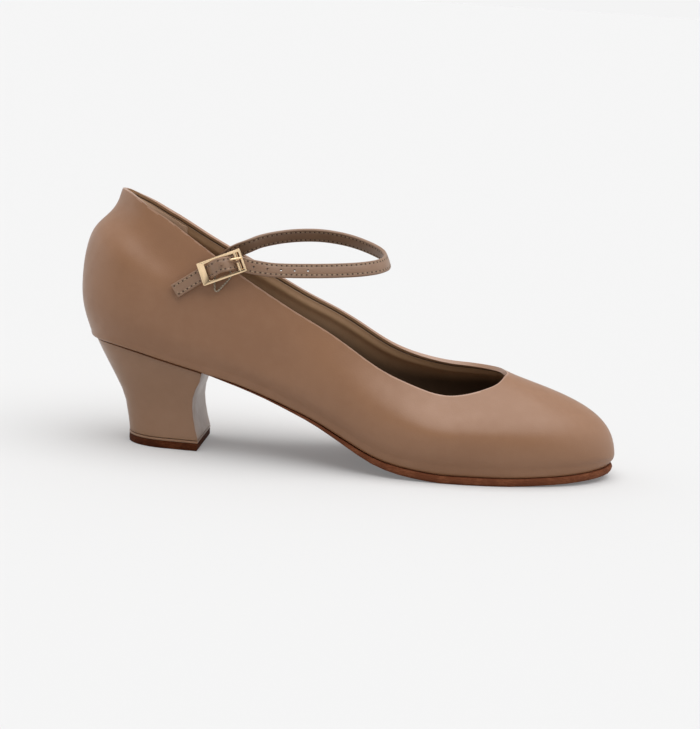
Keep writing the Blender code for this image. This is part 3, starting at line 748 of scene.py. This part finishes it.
@dataclass
class Upper:
    """The upper: satin outside leather, folded topline in a lighter leather as a painted highlight, lining
    with painted shade deep inside and its heel grip.
    """

    outside: Leather
    # The topline's folded edge, lighter than the outside: a painted highlight.
    fold_highlight: Leather
    lining: LinedLeather
    grip: Leather
    corner: float = 65.0
    topline_above: float = 0.02
    fold_radius: float = 0.00090
    fold_highlight_width: float = 0.85
    levels: int = 2
    lining_roll_at: float = 0.0048
    lining_roll_width: float = 0.0016
    lining_roll_height: float = 0.00085
    grip_front_x: float = 0.0130
    grip_front_lean: float = 0.12
    grip_bottom: float = 0.056
    grip_top: float = 0.0021
    grip_ragged: float = 2.5
    grip_thickness: float = 0.0007
    grip_clearance: float = 0.00012
    grip_edge: float = 0.00025
    feather: float = 0.0040
    feather_gap: float = 0.00012
    feather_facing: float = 0.3
    peak_drop: float = 0.0022
    peak_softness: float = 0.30
    crease_ease: float = 0.006
    creases: tuple[Crease, ...] = (
        Crease((-0.022, 0.103), (-0.002, 0.088), 0.0085, -0.0009),
        Crease((-0.002, 0.088), (0.020, 0.076), 0.0080, -0.0005),
        Crease((-0.042, 0.098), (-0.018, 0.086), 0.0060, 0.0003),
        Crease((-0.018, 0.086), (0.006, 0.073), 0.0060, 0.0002),
        Crease((0.010, 0.060), (0.050, 0.046), 0.0100, -0.0007),
    )
    shell: bpy.types.Mesh | None = field(default=None, init=False)

    def build(self) -> None:
        """Makes the shell and its heel grip."""
        self.shell = self.make_shell()
        looks = [self.outside.material(), self.lining.material(), self.fold_highlight.material()]
        piece("upper_shell", self.shell, looks, ("upper",), sharp=180.0)
        piece("heel_grip", self.make_grip(), [self.grip.material()], sharp=50.0)

    def make_shell(self) -> bpy.types.Mesh:
        """Rounds the CAD upper, tells its faces apart and moves its creases.

        Returns:
            The shell's mesh, with the attribute below_topline in millimetres.
        """
        work = merged_copy("upper")
        outer, inner = zones(work, self.corner)[:2]
        for face in work.faces:
            face.material_index = Face.FOLD.value
        for zone, kind in ((outer, Face.OUTSIDE), (inner, Face.LINING)):
            for face in zone:
                face.material_index = kind.value
        rounded(work, sharp_edges(work, self.corner), self.fold_radius)
        mesh = subdivided("upper_shell", as_mesh("upper_shell", work), self.levels)
        work = bmesh.new()
        work.from_mesh(mesh)
        work.normal_update()
        self.mark_topline(work)
        self.round_peak(work)
        self.close_feather(work)
        self.crease(work)
        work.to_mesh(mesh)
        work.free()
        return mesh

    def mark_topline(self, work: bmesh.types.BMesh) -> None:
        """Stores each point's distance below the topline's folded edge, in millimetres, and spreads the
        folded edge's lighter leather, a painted highlight, onto the outside next to it.
        """
        rim = bmesh.new()
        for face in work.faces:
            high = face.calc_center_median().z > self.topline_above
            if face.material_index == Face.FOLD.value and high:
                rim.faces.new([rim.verts.new(v.co) for v in face.verts])
        tree = BVHTree.FromBMesh(rim)
        rim.free()
        layer = work.verts.layers.float.new("below_topline")
        for vert in work.verts:
            vert[layer] = tree.find_nearest(vert.co)[3] / MM
        # Outside faces next to the rim take the lighter leather too: the painted highlight along the topline.
        for face in work.faces:
            near = max(v[layer] for v in face.verts) < self.fold_highlight_width
            if face.material_index == Face.OUTSIDE.value and near:
                face.material_index = Face.FOLD.value

    def round_peak(self, work: bmesh.types.BMesh) -> None:
        """Flattens the pointed corner at the top of the back seam."""
        top = max(vert.co.z for vert in work.verts)
        for vert in work.verts:
            over = vert.co.z - (top - self.peak_drop)
            if over > 0.0:
                vert.co.z -= over * self.peak_softness * over / self.peak_drop

    def close_feather(self, work: bmesh.types.BMesh) -> None:
        """Draws the leather's turn under the foot down to the sole's edge."""
        sole = merged_copy("outsole")
        tree = BVHTree.FromBMesh(sole)
        sole.free()
        for vert in work.verts:
            outside = all(f.material_index == Face.OUTSIDE.value for f in vert.link_faces)
            if vert.normal.z > self.feather_facing or not outside:
                continue
            below = tree.find_nearest(vert.co, self.feather)[0]
            if below is None:
                continue
            gap = vert.co.z - below.z
            near = 1.0 - ((vert.co - below).xy.length / self.feather) ** 2
            if self.feather_gap < gap < self.feather:
                drawn = self.feather_gap + (gap - self.feather_gap) * (gap / self.feather) ** 3
                vert.co.z -= (gap - drawn) * near

    def crease(self, work: bmesh.types.BMesh) -> None:
        """Moves the leather by its creases outside, and raises the lining's soft roll inside."""
        layer = work.verts.layers.float["below_topline"]
        moves = []
        for vert in work.verts:
            kinds = {face.material_index for face in vert.link_faces}
            below = vert[layer] * MM
            if kinds == {Face.OUTSIDE.value}:
                ease = min(below / self.crease_ease, 1.0)
                moves.append((vert, ease * sum(c.at(vert.co) for c in self.creases)))
            elif kinds == {Face.LINING.value}:
                roll = falloff(below - self.lining_roll_at, self.lining_roll_width)
                moves.append((vert, self.lining_roll_height * roll))
        for vert, move in moves:
            vert.co += vert.normal * move

    def make_grip(self) -> bpy.types.Mesh:
        """The heel grip: a second layer on the lining round the heel, standing proud with a cut edge.

        Returns:
            The grip's mesh.
        """
        work = bmesh.new()
        work.from_mesh(self.shell)
        layer = work.verts.layers.float["below_topline"]
        least = self.grip_top / MM
        bmesh.ops.bisect_plane(work, geom=everything(work), plane_co=(self.grip_front_x, 0.0, 0.0),
                               plane_no=(1.0, 0.0, self.grip_front_lean), clear_outer=True)
        drop = [
            f for f in work.faces
            if f.material_index != Face.LINING.value or min(v[layer] for v in f.verts) < least
            or f.calc_center_median().z < self.grip_bottom
        ]
        bmesh.ops.delete(work, geom=drop, context="FACES")
        work.normal_update()
        for vert in work.verts:
            over = vert[layer] - least
            if vert.is_boundary and over < self.grip_ragged:
                vert.co.z += over * MM
        for vert in work.verts:
            vert.co += vert.normal * (self.grip_clearance + self.grip_thickness)
        bmesh.ops.solidify(work, geom=work.faces[:], thickness=-self.grip_thickness)
        bmesh.ops.recalc_face_normals(work, faces=work.faces)
        rounded(work, sharp_edges(work, 60.0), self.grip_edge, steps=2)
        return as_mesh("heel_grip", work)


@dataclass
class Bottom:
    """Insole, outsole, covered heel and top lift."""

    lining: Leather
    sole: SoleLeather
    cover: Leather
    lift: SoleLeather
    shell: bpy.types.Mesh
    edge_radius: float = 0.00022
    seat_corner: float = 48.0
    seat_facing: float = 0.8
    lip_width: float = 0.0005
    lip_flare: float = 0.0009
    lip_rise: float = 0.0022
    lip_clearance: float = 0.00010
    breast_radius: float = 0.0004
    rand_from: float = 0.0035
    rand_proud: float = 0.00018

    def build(self) -> None:
        """Makes every piece under the foot."""
        tan = self.cover.material()
        insole = self.softened("insole", "insole_sock", self.breast_radius)
        piece("insole_sock", insole, [self.lining.material()], ("insole",))
        outsole = self.softened("outsole", "sole_edge", self.edge_radius)
        piece("sole_edge", outsole, [self.sole.material()], ("outsole",), sharp=30.0)
        piece("heel_cover", self.make_cover(), [tan], ("heel_block",), sharp=38.0)
        lift = self.lift_slice("top_lift_leather", self.rand_from, below=True)
        piece("top_lift_leather", lift, [self.lift.material()], ("top_lift",), sharp=30.0)
        rand = self.lift_slice("heel_rand", self.rand_from + self.lip_clearance, below=False)
        piece("heel_rand", rand, [tan], sharp=30.0)

    def softened(self, node: str, name: str, radius: float) -> bpy.types.Mesh:
        """A CAD node's shape with rounded edges.

        Args:
            node: the CAD node.
            name: the new mesh's name.
            radius: how far the rounding starts from the edge.

        Returns:
            The mesh.
        """
        work = merged_copy(node)
        rounded(work, sharp_edges(work, 50.0), radius)
        return as_mesh(name, work)

    def make_cover(self) -> bpy.types.Mesh:
        """The heel's cover, with its upper edge drawn up round the seat to meet the upper.

        Returns:
            The cover's mesh.
        """
        sole = merged_copy("outsole")
        corners = [v.co.copy() for v in self.shell.vertices]
        above = [BVHTree.FromBMesh(sole),
                 BVHTree.FromPolygons(corners, [list(p.vertices) for p in self.shell.polygons])]
        sole.free()
        work = merged_copy("heel_block")
        seat = next(z for z in zones(work, self.seat_corner)
                    if sum(f.normal.z for f in z) > self.seat_facing * len(z))
        outline = {v for f in seat for v in f.verts if any(g not in seat for g in v.link_faces)}
        bmesh.ops.inset_region(work, faces=list(seat), thickness=self.lip_width, use_even_offset=True,
                               use_boundary=True)
        upright = [e for e in sharp_edges(work, 40.0) if not outline.intersection(e.verts)]
        work.normal_update()
        for vert in outline:
            vert.co += level(vert.normal) * self.lip_flare
            hits = [tree.ray_cast(vert.co, (0.0, 0.0, 1.0), 2 * self.lip_rise)[3] for tree in above]
            clear = min([hit for hit in hits if hit is not None], default=0.0)
            vert.co.z += max(min(clear - self.lip_clearance, self.lip_rise), 0.0)
        rounded(work, upright, self.breast_radius)
        return as_mesh("heel_cover", work)

    def lift_slice(self, name: str, height: float, below: bool) -> bpy.types.Mesh:
        """A level slice of the CAD top lift: the lift's leather, or the thin turned-in rand of cover leather.

        Args:
            name: the new mesh's name.
            height: where it is cut.
            below: whether the lower part is kept; the upper one stands a little proud.

        Returns:
            The slice's mesh.
        """
        work = merged_copy("top_lift")
        bmesh.ops.bisect_plane(work, geom=everything(work), plane_co=(0.0, 0.0, height),
                               plane_no=(0.0, 0.0, 1.0), clear_outer=below, clear_inner=not below)
        bmesh.ops.holes_fill(work, edges=[e for e in work.edges if e.is_boundary], sides=0)
        bmesh.ops.recalc_face_normals(work, faces=work.faces)
        if not below:
            work.normal_update()
            for vert in work.verts:
                vert.co += level(vert.normal) * self.rand_proud
        rounded(work, sharp_edges(work, 40.0), self.edge_radius)
        return as_mesh(name, work)


@dataclass(frozen=True)
class Station:
    """One place along the strap: its middle, its direction across and outwards, and its run from the tip."""

    middle: Vector
    across: Vector
    out: Vector
    run: float

    def point(self, across: float, out: float) -> Vector:
        """A point beside the strap's middle.

        Args:
            across: metres towards the strap's upper edge.
            out: metres towards its outer face.

        Returns:
            The point.
        """
        return self.middle + self.across * across + self.out * out


@dataclass
class Strap:
    """The ankle strap with its edges, punched holes and two rows of stitches on either face."""

    leather: Leather
    thread: Thread
    # Dark pins in the stitch holes: painted shade.
    hole_shade: Leather
    width: float = 0.0064
    thickness: float = 0.0018
    corner: float = 48.0
    least_end: float = 0.8
    most_end: float = 1.1
    edge_radius: float = 0.0006
    edge_steps: int = 4
    row_inset: float = 0.00120
    row_width: float = 0.00035
    row_depth: float = 0.00014
    crown: float = 0.00012
    profile_steps: int = 15
    smoothing: int = 3
    stitch_pitch: float = 0.0022
    stitch_length: float = 0.00150
    stitch_radius: float = 0.00026
    stitch_flatness: float = 0.8
    seated: float = 0.3
    hole_shade_radius: float = 0.00040
    hole_shade_sides: int = 6
    hole_radius: float = 0.00050
    hole_sides: int = 20
    hole_count: int = 8
    first_hole: float = 0.0265
    hole_pitch: float = 0.0059
    stations: list[Station] = field(default_factory=list, init=False)

    def build(self) -> None:
        """Reads the strap's course from its CAD solid, then makes the strap and its stitches."""
        self.read_course()
        piece("strap_leather", self.make_strap(), [self.leather.material()],
              ("ankle_strap",), sharp=35.0)
        piece("strap_stitches", self.make_stitches(), [self.thread.material(), self.hole_shade.material()],
              sharp=60.0)

    def read_course(self) -> None:
        """Finds the CAD strap's four long edges, and the stations between them."""
        work = merged_copy("ankle_strap")
        found = zones(work, self.corner)
        section = self.width * self.thickness
        caps = [zone for zone in found if self.least_end < area(zone) / section < self.most_end]
        ends = {v.co.to_tuple() for zone in caps for f in zone for v in f.verts}
        strips = sorted(found, key=lambda zone: len(edge_loops(zone)[0]), reverse=True)[:2]
        rails = [long_sides(max(edge_loops(strip), key=len), ends) for strip in strips]
        rails = [sorted(pair, key=line_length, reverse=True) for pair in rails]
        work.free()
        first = rails[0][0] if rails[0][0][0].y < rails[0][0][-1].y else list(reversed(rails[0][0]))
        middles, acrosses, outs = [], [], []
        for point in first:
            inner = nearest_on(point, rails[0][1])
            far, far_inner = nearest_on(point, rails[1][0]), nearest_on(inner, rails[1][1])
            middles.append((point + inner + far + far_inner) / 4)
            acrosses.append((far + far_inner - point - inner).normalized())
            outs.append((point + far - inner - far_inner).normalized())
        if acrosses[len(acrosses) // 2].z < 0.0:
            acrosses = [-across for across in acrosses]
        lines = [smooth_line(line, self.smoothing) for line in (middles, acrosses, outs)]
        run, before = 0.0, middles[0]
        for middle, across, out in zip(*lines):
            run += (middle - before).length
            before = middle
            out = (out - across * out.dot(across) / across.length_squared).normalized()
            self.stations.append(Station(middle, across.normalized(), out, run))
        LOG.info("strap: %d stations over %.1f mm", len(self.stations), run / MM)

    def profile(self) -> list[tuple[float, float]]:
        """Half of the strap's section, over its outer face, as (across, out) pairs.

        Returns:
            The pairs, from the lower edge to the upper one.
        """
        half, deep = self.width / 2, self.thickness / 2
        flat = half - self.edge_radius
        pairs = []
        for k in range(self.edge_steps + 1):
            turn = math.pi / 2 * k / self.edge_steps
            low = deep - self.edge_radius * (1.0 - math.sin(turn))
            pairs.append((-half + self.edge_radius * (1.0 - math.cos(turn)), low))
        corner = pairs[:]
        for k in range(1, self.profile_steps):
            pairs.append((flat * (2.0 * k / self.profile_steps - 1.0), deep))
        pairs += [(-across, out) for across, out in reversed(corner)]
        row = half - self.row_inset
        shaped = []
        for across, out in pairs:
            rise = self.crown * max(1.0 - (across / row) ** 2, 0.0)
            sink = self.row_depth * falloff(abs(across) - row, self.row_width)
            shaped.append((across, out + (rise - sink if out >= deep else 0.0)))
        return shaped

    def make_strap(self) -> bpy.types.Mesh:
        """The strap as rings bridged from its tip to its sewn end, then punched.

        Returns:
            The strap's mesh.
        """
        pairs = self.profile()
        ring = pairs + [(across, -out) for across, out in reversed(pairs)]
        work = bmesh.new()
        before = None
        for station in self.stations:
            made = bmesh.ops.create_circle(work, segments=len(ring), radius=self.width)["verts"]
            for vert, (across, out) in zip(made, ring):
                vert.co = station.point(across, out)
            edges = list({edge for vert in made for edge in vert.link_edges})
            if before:
                bmesh.ops.bridge_loops(work, edges=before + edges)
            before = edges
        bmesh.ops.holes_fill(work, edges=[e for e in work.edges if e.is_boundary], sides=0)
        bmesh.ops.recalc_face_normals(work, faces=work.faces)
        return self.punched(as_mesh("strap_leather", work))

    def punched(self, mesh: bpy.types.Mesh) -> bpy.types.Mesh:
        """Cuts the holes through the strap.

        Args:
            mesh: the whole strap.

        Returns:
            The strap with its holes.
        """
        punches = bmesh.new()
        for number in range(self.hole_count):
            hole, out = self.spot(self.first_hole + number * self.hole_pitch, 0.0, 0.0)
            pin(punches, hole, out, self.hole_radius, 4 * self.thickness, self.hole_sides)
        return cut_from(mesh, as_mesh("strap_punches", punches))

    def make_stitches(self) -> bpy.types.Mesh:
        """All stitches of the strap, with a dark pin in each stitch hole between them as painted shade.

        Returns:
            One mesh, threads in the first material and the dark pins of painted shade in the stitch holes in
            the second.
        """
        work = bmesh.new()
        row = self.width / 2 - self.row_inset
        pitch = self.stitch_pitch
        count = int((self.stations[-1].run - 2 * self.row_inset) / pitch)
        starts = [self.row_inset + k * pitch for k in range(count)]
        along = [((run, across), (run + pitch, across)) for across in (-row, row) for run in starts]
        tip = [((self.row_inset, low), (self.row_inset, low + row)) for low in (-row, 0.0)]
        for side in Side:
            height = side.value * (self.thickness / 2 - self.row_depth)
            for start, end in along + tip:
                self.stitch(work, self.spot(*start, height), self.spot(*end, height), side)
        return as_mesh("strap_stitches", work)

    def spot(self, run: float, across: float, out: float) -> tuple[Vector, Vector]:
        """A place on the strap and the outward direction there.

        Args:
            run: metres along the strap from its tip.
            across: metres towards its upper edge.
            out: metres from its middle towards its outer face.

        Returns:
            The point and the direction.
        """
        after = next((k for k, s in enumerate(self.stations) if s.run >= run), len(self.stations) - 1)
        here, there = self.stations[max(after - 1, 0)], self.stations[after]
        share = min(max((run - here.run) / max(there.run - here.run, 1e-9), 0.0), 1.0)
        return here.point(across, out).lerp(there.point(across, out), share), there.out

    def stitch(
        self, work: bmesh.types.BMesh, start: tuple[Vector, Vector], end: tuple[Vector, Vector], side: Side
    ) -> None:
        """Adds one stitch between two stitch holes, and a dark pin in the first hole as painted shade.

        Args:
            work: the mesh that it goes into.
            start: the first stitch hole and the outward direction there.
            end: the next stitch hole.
            side: the face that the stitch lies on.
        """
        run = end[0] - start[0]
        out = start[1] * side.value
        along = run.normalized()
        beside = out.cross(along).normalized()
        turn = Matrix((beside, out, along)).transposed().to_4x4()
        middle = start[0] + run / 2 + out * self.seated * self.stitch_radius
        flat = self.stitch_flatness * self.stitch_radius
        shape = Matrix.Diagonal((self.stitch_radius, flat, self.stitch_length / 2, 1.0))
        bmesh.ops.create_uvsphere(work, u_segments=6, v_segments=6, radius=1.0,
                                  matrix=Matrix.Translation(middle) @ turn @ shape)
        # A dark pin sunk in each stitch hole: painted shade of the hole.
        hole = start[0] - out * self.seated * self.row_depth
        made = pin(work, hole, out, self.hole_shade_radius, 3 * self.row_depth, self.hole_shade_sides)
        for face in {face for vert in made for face in vert.link_faces}:
            face.material_index = 1


def pin(
    work: bmesh.types.BMesh, middle: Vector, axis: Vector, radius: float, length: float, sides: int
) -> list[bmesh.types.BMVert]:
    """Adds a closed round pin.

    Args:
        work: the mesh that it goes into.
        middle: its middle.
        axis: its direction.
        radius: its radius.
        length: its length.
        sides: faces round it.

    Returns:
        Its corners.
    """
    turn = axis.to_track_quat("Z", "Y").to_matrix().to_4x4()
    made = bmesh.ops.create_cone(work, cap_ends=True, segments=sides, radius1=radius, radius2=radius,
                                 depth=length, matrix=Matrix.Translation(middle) @ turn)
    return made["verts"]


@dataclass
class Buckle:
    """The small buckle with its hook bar and prong, and the elastic loop behind it."""

    plating: Plating
    tape: Thread
    length: float = 0.0202
    height: float = 0.0104
    thickness: float = 0.0015
    front_bar: float = 0.0010
    back_bar: float = 0.0032
    side_bar: float = 0.0013
    hook_from_end: float = 0.0026
    hook_width: float = 0.0020
    hook_sides: int = 20
    tilt: float = math.radians(24.0)
    lean: float = math.radians(10.0)
    facet_drop: float = 0.0004
    corner: float = 0.00045
    polish: float = 0.00022

    def place(self) -> Matrix:
        """The buckle's own axes, along, up and out, as a matrix in the shoe's frame."""
        low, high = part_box("buckle_frame")
        turn = Matrix.Rotation(-self.lean, 4, "X") @ Matrix.Rotation(-self.tilt, 4, "Y")
        flat = Matrix(((1.0, 0.0, 0.0), (0.0, 0.0, -1.0), (0.0, 1.0, 0.0))).to_4x4()
        return Matrix.Translation((low + high) / 2) @ turn @ flat

    def build(self) -> None:
        """Makes the frame, the prong and the elastic."""
        gold = self.plating.material()
        piece("buckle_rim", self.make_frame(), [gold], ("buckle_frame",), sharp=50.0)
        prong = subdivided("buckle_pin", as_mesh("buckle_pin", merged_copy("buckle_prong")), 1)
        piece("buckle_pin", prong, [gold], ("buckle_prong",), sharp=60.0)
        loop = subdivided("elastic_loop", as_mesh("elastic_loop", merged_copy("buckle_elastic")), 2)
        piece("elastic_loop", loop, [self.tape.material()], ("buckle_elastic",), sharp=60.0)

    def make_frame(self) -> bpy.types.Mesh:
        """The frame as a bridged and thickened rectangle with its hook bar.

        Returns:
            The frame's mesh.
        """
        half, top = self.length / 2, self.height / 2
        inner, window = top - self.side_bar, self.back_bar - half
        work = bmesh.new()
        loops = []
        for low_x, high_x, high_y in ((-half, half, top), (window, half - self.front_bar, inner)):
            made = bmesh.ops.create_circle(work, segments=4, radius=1.0)["verts"]
            corners = ((low_x, -high_y), (high_x, -high_y), (high_x, high_y), (low_x, high_y))
            for vert, (x, y) in zip(made, corners):
                vert.co = Vector((x, y, self.thickness / 2))
            loops += list({edge for vert in made for edge in vert.link_edges})
        bmesh.ops.bridge_loops(work, edges=loops)
        grown = bmesh.ops.extrude_face_region(work, geom=work.faces[:])["geom"]
        back = [v for v in grown if isinstance(v, bmesh.types.BMVert)]
        bmesh.ops.translate(work, verts=back, vec=(0.0, 0.0, -self.thickness))
        bmesh.ops.recalc_face_normals(work, faces=work.faces)
        for vert in work.verts:
            if abs(vert.co.x - window) < MERGE and vert.co.z > 0.0:
                vert.co.z -= self.facet_drop
        upright = [e for e in work.edges if abs((e.verts[0].co - e.verts[1].co).normalized().z) > 0.9]
        rounded(work, upright, self.corner)
        rounded(work, sharp_edges(work, 50.0), self.polish)
        hook = half - self.hook_from_end
        stand = Matrix.Translation((hook, 0.0, 0.0)) @ Matrix.Rotation(math.pi / 2, 4, "X")
        shape = Matrix.Diagonal((self.hook_width / 2, self.thickness / 2, 1.0, 1.0))
        bmesh.ops.create_cone(work, cap_ends=True, segments=self.hook_sides, radius1=1.0, radius2=1.0,
                              depth=2 * inner + self.side_bar, matrix=stand @ shape)
        bmesh.ops.transform(work, matrix=self.place(), verts=work.verts)
        bmesh.ops.recalc_face_normals(work, faces=work.faces)
        return as_mesh("buckle_rim", work)


@dataclass
class Studio:
    """A plain white studio: floor, wide soft light and the camera."""

    floor_colour: Colour = (0.558, 0.558, 0.558)
    floor_bounce: Colour = (0.58, 0.58, 0.58)
    # A glow that only the camera sees: painted light that lifts the floor's shadows.
    floor_glow: float = 0.15
    floor_size: float = 60.0
    sky: float = 0.62
    sky_front: float = 0.08
    panel: float = 0.85
    ends: float = 0.56
    horizon: float = 0.905
    key_power: float = 2.60
    key_softness: float = math.radians(75.0)
    key_turn: tuple[float, float, float] = (math.radians(10.0), math.radians(8.0), 0.0)
    aim: tuple[float, float, float] = (0.0822, 0.0, 0.0422)
    azimuth: float = math.radians(4.72)
    elevation: float = math.radians(10.89)
    roll: float = math.radians(3.77)
    distance: float = 0.900
    focal_px: float = 1985.0
    frame_px: float = 729.0
    sensor: float = 36.0

    def build(self) -> None:
        """Makes the floor, the lights and the camera."""
        self.make_floor()
        self.make_sky()
        self.make_key()
        self.make_camera()
        bpy.context.scene.view_settings.view_transform = "Standard"

    def make_floor(self) -> None:
        """A wide pale floor to the horizon, which throws back less light than the camera sees on it; for the
        camera alone it glows a little, painted light that lifts the shadows on it.
        """
        work = bmesh.new()
        bmesh.ops.create_grid(work, x_segments=2, y_segments=2, size=self.floor_size / 2)
        made, tree, shader, _ = new_material("studio_floor")
        seen = add_node(tree, "ShaderNodeLightPath").outputs["Is Camera Ray"]
        feed(tree, shader, {
            "Base Color": blended(tree, seen, self.floor_bounce, self.floor_colour),
            # Painted light: the floor glows for camera rays alone, lightening its shadows.
            "Emission Strength": sum_node(tree, "MULTIPLY", seen, self.floor_glow),
            "Emission Color": WHITE,
            "Roughness": 1.0,
            "Specular IOR Level": 0.0,
        })
        floor = held("floor", as_mesh("floor", work))
        floor.data.materials.append(made)

    def make_sky(self) -> None:
        """Soft white light, weak in front but for a low panel there, and stronger from both ends."""
        world = bpy.data.worlds.new("studio")
        world.use_nodes = True
        bpy.context.scene.world = world
        tree = world.node_tree
        parts = add_node(tree, "ShaderNodeSeparateXYZ",
                         {"Vector": add_node(tree, "ShaderNodeTexCoord").outputs["Generated"]})
        x, y, z = (parts.outputs[axis] for axis in "XYZ")
        general = ranged(tree, y, -0.9, 0.3, self.sky_front, self.sky)
        haze = ranged(tree, z, 0.02, 0.12, self.horizon, 0.0)
        behind = ranged(tree, y, 0.0, 0.5, 0.0, 1.0)
        over = ranged(tree, z, 0.0, 0.08, 0.0, self.panel)
        under = ranged(tree, z, 0.22, 0.42, 1.0, 0.0)
        front = ranged(tree, y, -0.95, -0.80, 1.0, 0.0)
        panel = sum_node(tree, "MULTIPLY", sum_node(tree, "MULTIPLY", over, under), front)
        ends = ranged(tree, sum_node(tree, "ABSOLUTE", x, 0.0), 0.45, 0.95, 0.0, self.ends)
        lit = sum_node(tree, "ADD", general, sum_node(tree, "ADD", panel, ends))
        strength = sum_node(tree, "MAXIMUM", lit, sum_node(tree, "MULTIPLY", haze, behind))
        feed(tree, tree.nodes["Background"], {"Strength": strength, "Color": WHITE})

    def make_key(self) -> None:
        """One very wide overhead light, a little to the camera's side of the shoe and towards its toe."""
        data = bpy.data.lights.new("key", "SUN")
        data.energy = self.key_power
        data.angle = self.key_softness
        held("key", data).rotation_euler = self.key_turn

    def make_camera(self) -> None:
        """The camera at the photograph's angle, rolled as it is there."""
        level_x, level_y = math.cos(self.azimuth), math.sin(self.azimuth)
        out = math.cos(self.elevation)
        back = Vector((level_y * out, -level_x * out, math.sin(self.elevation)))
        right = Vector((level_x, level_y, 0.0))
        turn = Matrix((right, back.cross(right), back)).transposed() @ Matrix.Rotation(self.roll, 3, "Z")
        data = bpy.data.cameras.new("camera")
        data.sensor_width = self.sensor
        data.lens = self.focal_px * self.sensor / self.frame_px
        camera = held("camera", data)
        camera.matrix_world = Matrix.Translation(Vector(self.aim) + back * self.distance) @ turn.to_4x4()
        bpy.context.scene.camera = camera


# Lines and loops


def edge_loops(faces: set[bmesh.types.BMFace]) -> list[list[Vector]]:
    """The closed outlines of a zone of faces, each as points in order.

    Args:
        faces: the zone.

    Returns:
        One list of points for each outline.
    """
    border = {e for f in faces for e in f.edges if sum(g in faces for g in e.link_faces) == 1}
    found = []
    for first in sorted(border, key=lambda e: e.index):
        if first not in border:
            continue
        border.discard(first)
        start, here = first.verts
        loop = [start.co.copy()]
        while here is not start:
            loop.append(here.co.copy())
            step = next(e for e in here.link_edges if e in border)
            border.discard(step)
            here = step.other_vert(here)
        found.append(loop)
    return found


def long_sides(loop: list[Vector], ends: set[tuple[float, float, float]]) -> list[list[Vector]]:
    """Splits a ribbon's outline where it meets the ribbon's two ends.

    Args:
        loop: the outline's points in order.
        ends: the points of the ends.

    Returns:
        Its two long sides.
    """
    count = len(loop)
    at_end = [point.to_tuple() in ends for point in loop]
    first = next(k for k in range(count) if at_end[k] and not at_end[(k + 1) % count])
    sides, side = [], [loop[first]]
    for k in range(first + 1, first + count):
        side.append(loop[k % count])
        if at_end[k % count]:
            sides.append(side)
            side = [loop[k % count]]
    return sorted(sides, key=len, reverse=True)[:2]


def line_length(line: list[Vector]) -> float:
    """The length of a line of points."""
    return sum((b - a).length for a, b in zip(line, line[1:]))


def nearest_on(point: Vector, line: list[Vector]) -> Vector:
    """The nearest point to a given one on a line of points."""
    best = line[0]
    for a, b in zip(line, line[1:]):
        share = min(max((point - a).dot(b - a) / max((b - a).length_squared, 1e-18), 0.0), 1.0)
        spot = a.lerp(b, share)
        if (spot - point).length < (best - point).length:
            best = spot
    return best


def smooth_line(line: list[Vector], steps: int) -> list[Vector]:
    """Rounds a line of points with a Catmull-Rom curve.

    Args:
        line: the points that the curve goes through.
        steps: points made for each of them.

    Returns:
        The finer line.
    """
    padded = [line[0] * 2 - line[1], *line, line[-1] * 2 - line[-2]]
    fine = []
    for a, b, c, d in zip(padded, padded[1:], padded[2:], padded[3:]):
        for k in range(steps):
            t = k / steps
            bend = (2 * a - 5 * b + 4 * c - d) * t * t + (3 * b - a - 3 * c + d) * t**3
            fine.append(0.5 * (2 * b + (c - a) * t + bend))
    return [*fine, line[-1]]


def main() -> None:
    """Builds the shoe's looks and the studio."""
    logging.basicConfig(level=logging.INFO, format="%(name)s %(message)s")
    upper = Upper(
        outside=Leather("tan_leather", (0.262, 0.124, 0.058), (0.284, 0.138, 0.067)),
        # Lighter than the outside leather: a painted highlight along the topline.
        fold_highlight=Leather("topline_fold_painted_highlight", (0.36, 0.205, 0.13), (0.39, 0.225, 0.145), roughness=0.36),
        lining=LinedLeather("lining_leather", (0.40, 0.235, 0.125), (0.45, 0.27, 0.148), roughness=0.55,
                            coat=0.0),
        grip=Leather("heel_grip_leather", (0.50, 0.32, 0.205), (0.55, 0.36, 0.235), roughness=0.6, coat=0.0,
                     grain=0.6, pebbles=2400.0, sheen=0.2),
    )
    upper.build()
    Bottom(
        lining=Leather("sock_leather", (0.12, 0.074, 0.043), (0.14, 0.088, 0.052), roughness=0.6, coat=0.0),
        sole=SoleLeather("sole_leather", (0.150, 0.047, 0.020), (0.24, 0.085, 0.038), strength=0.45),
        cover=Leather("heel_cover_leather", (0.262, 0.136, 0.071), (0.285, 0.151, 0.081), roughness=0.36,
                      grain=0.25, coat=0.22),
        lift=SoleLeather("lift_leather", (0.060, 0.014, 0.004), (0.14, 0.040, 0.012), roughness=0.75,
                         strength=0.35),
        shell=upper.shell,
    ).build()
    Strap(
        leather=Leather("strap_leather", (0.240, 0.138, 0.082), (0.264, 0.154, 0.093), roughness=0.50,
                        grain=0.5, pebbles=2300.0),
        thread=Thread("strap_thread", (0.42, 0.29, 0.185), (0.28, 0.185, 0.115)),
        # The stitch holes' dark pins: painted shade.
        hole_shade=Leather("needle_hole_painted_shade", (0.060, 0.034, 0.022), (0.080, 0.046, 0.030), roughness=0.8, coat=0.0),
    ).build()
    Buckle(
        plating=Plating("pale_gold", (0.93, 0.69, 0.43)),
        tape=Thread("elastic_tape", (0.38, 0.31, 0.22), (0.17, 0.135, 0.09)),
    ).build()
    Studio().build()


if __name__ == "__main__":
    main()
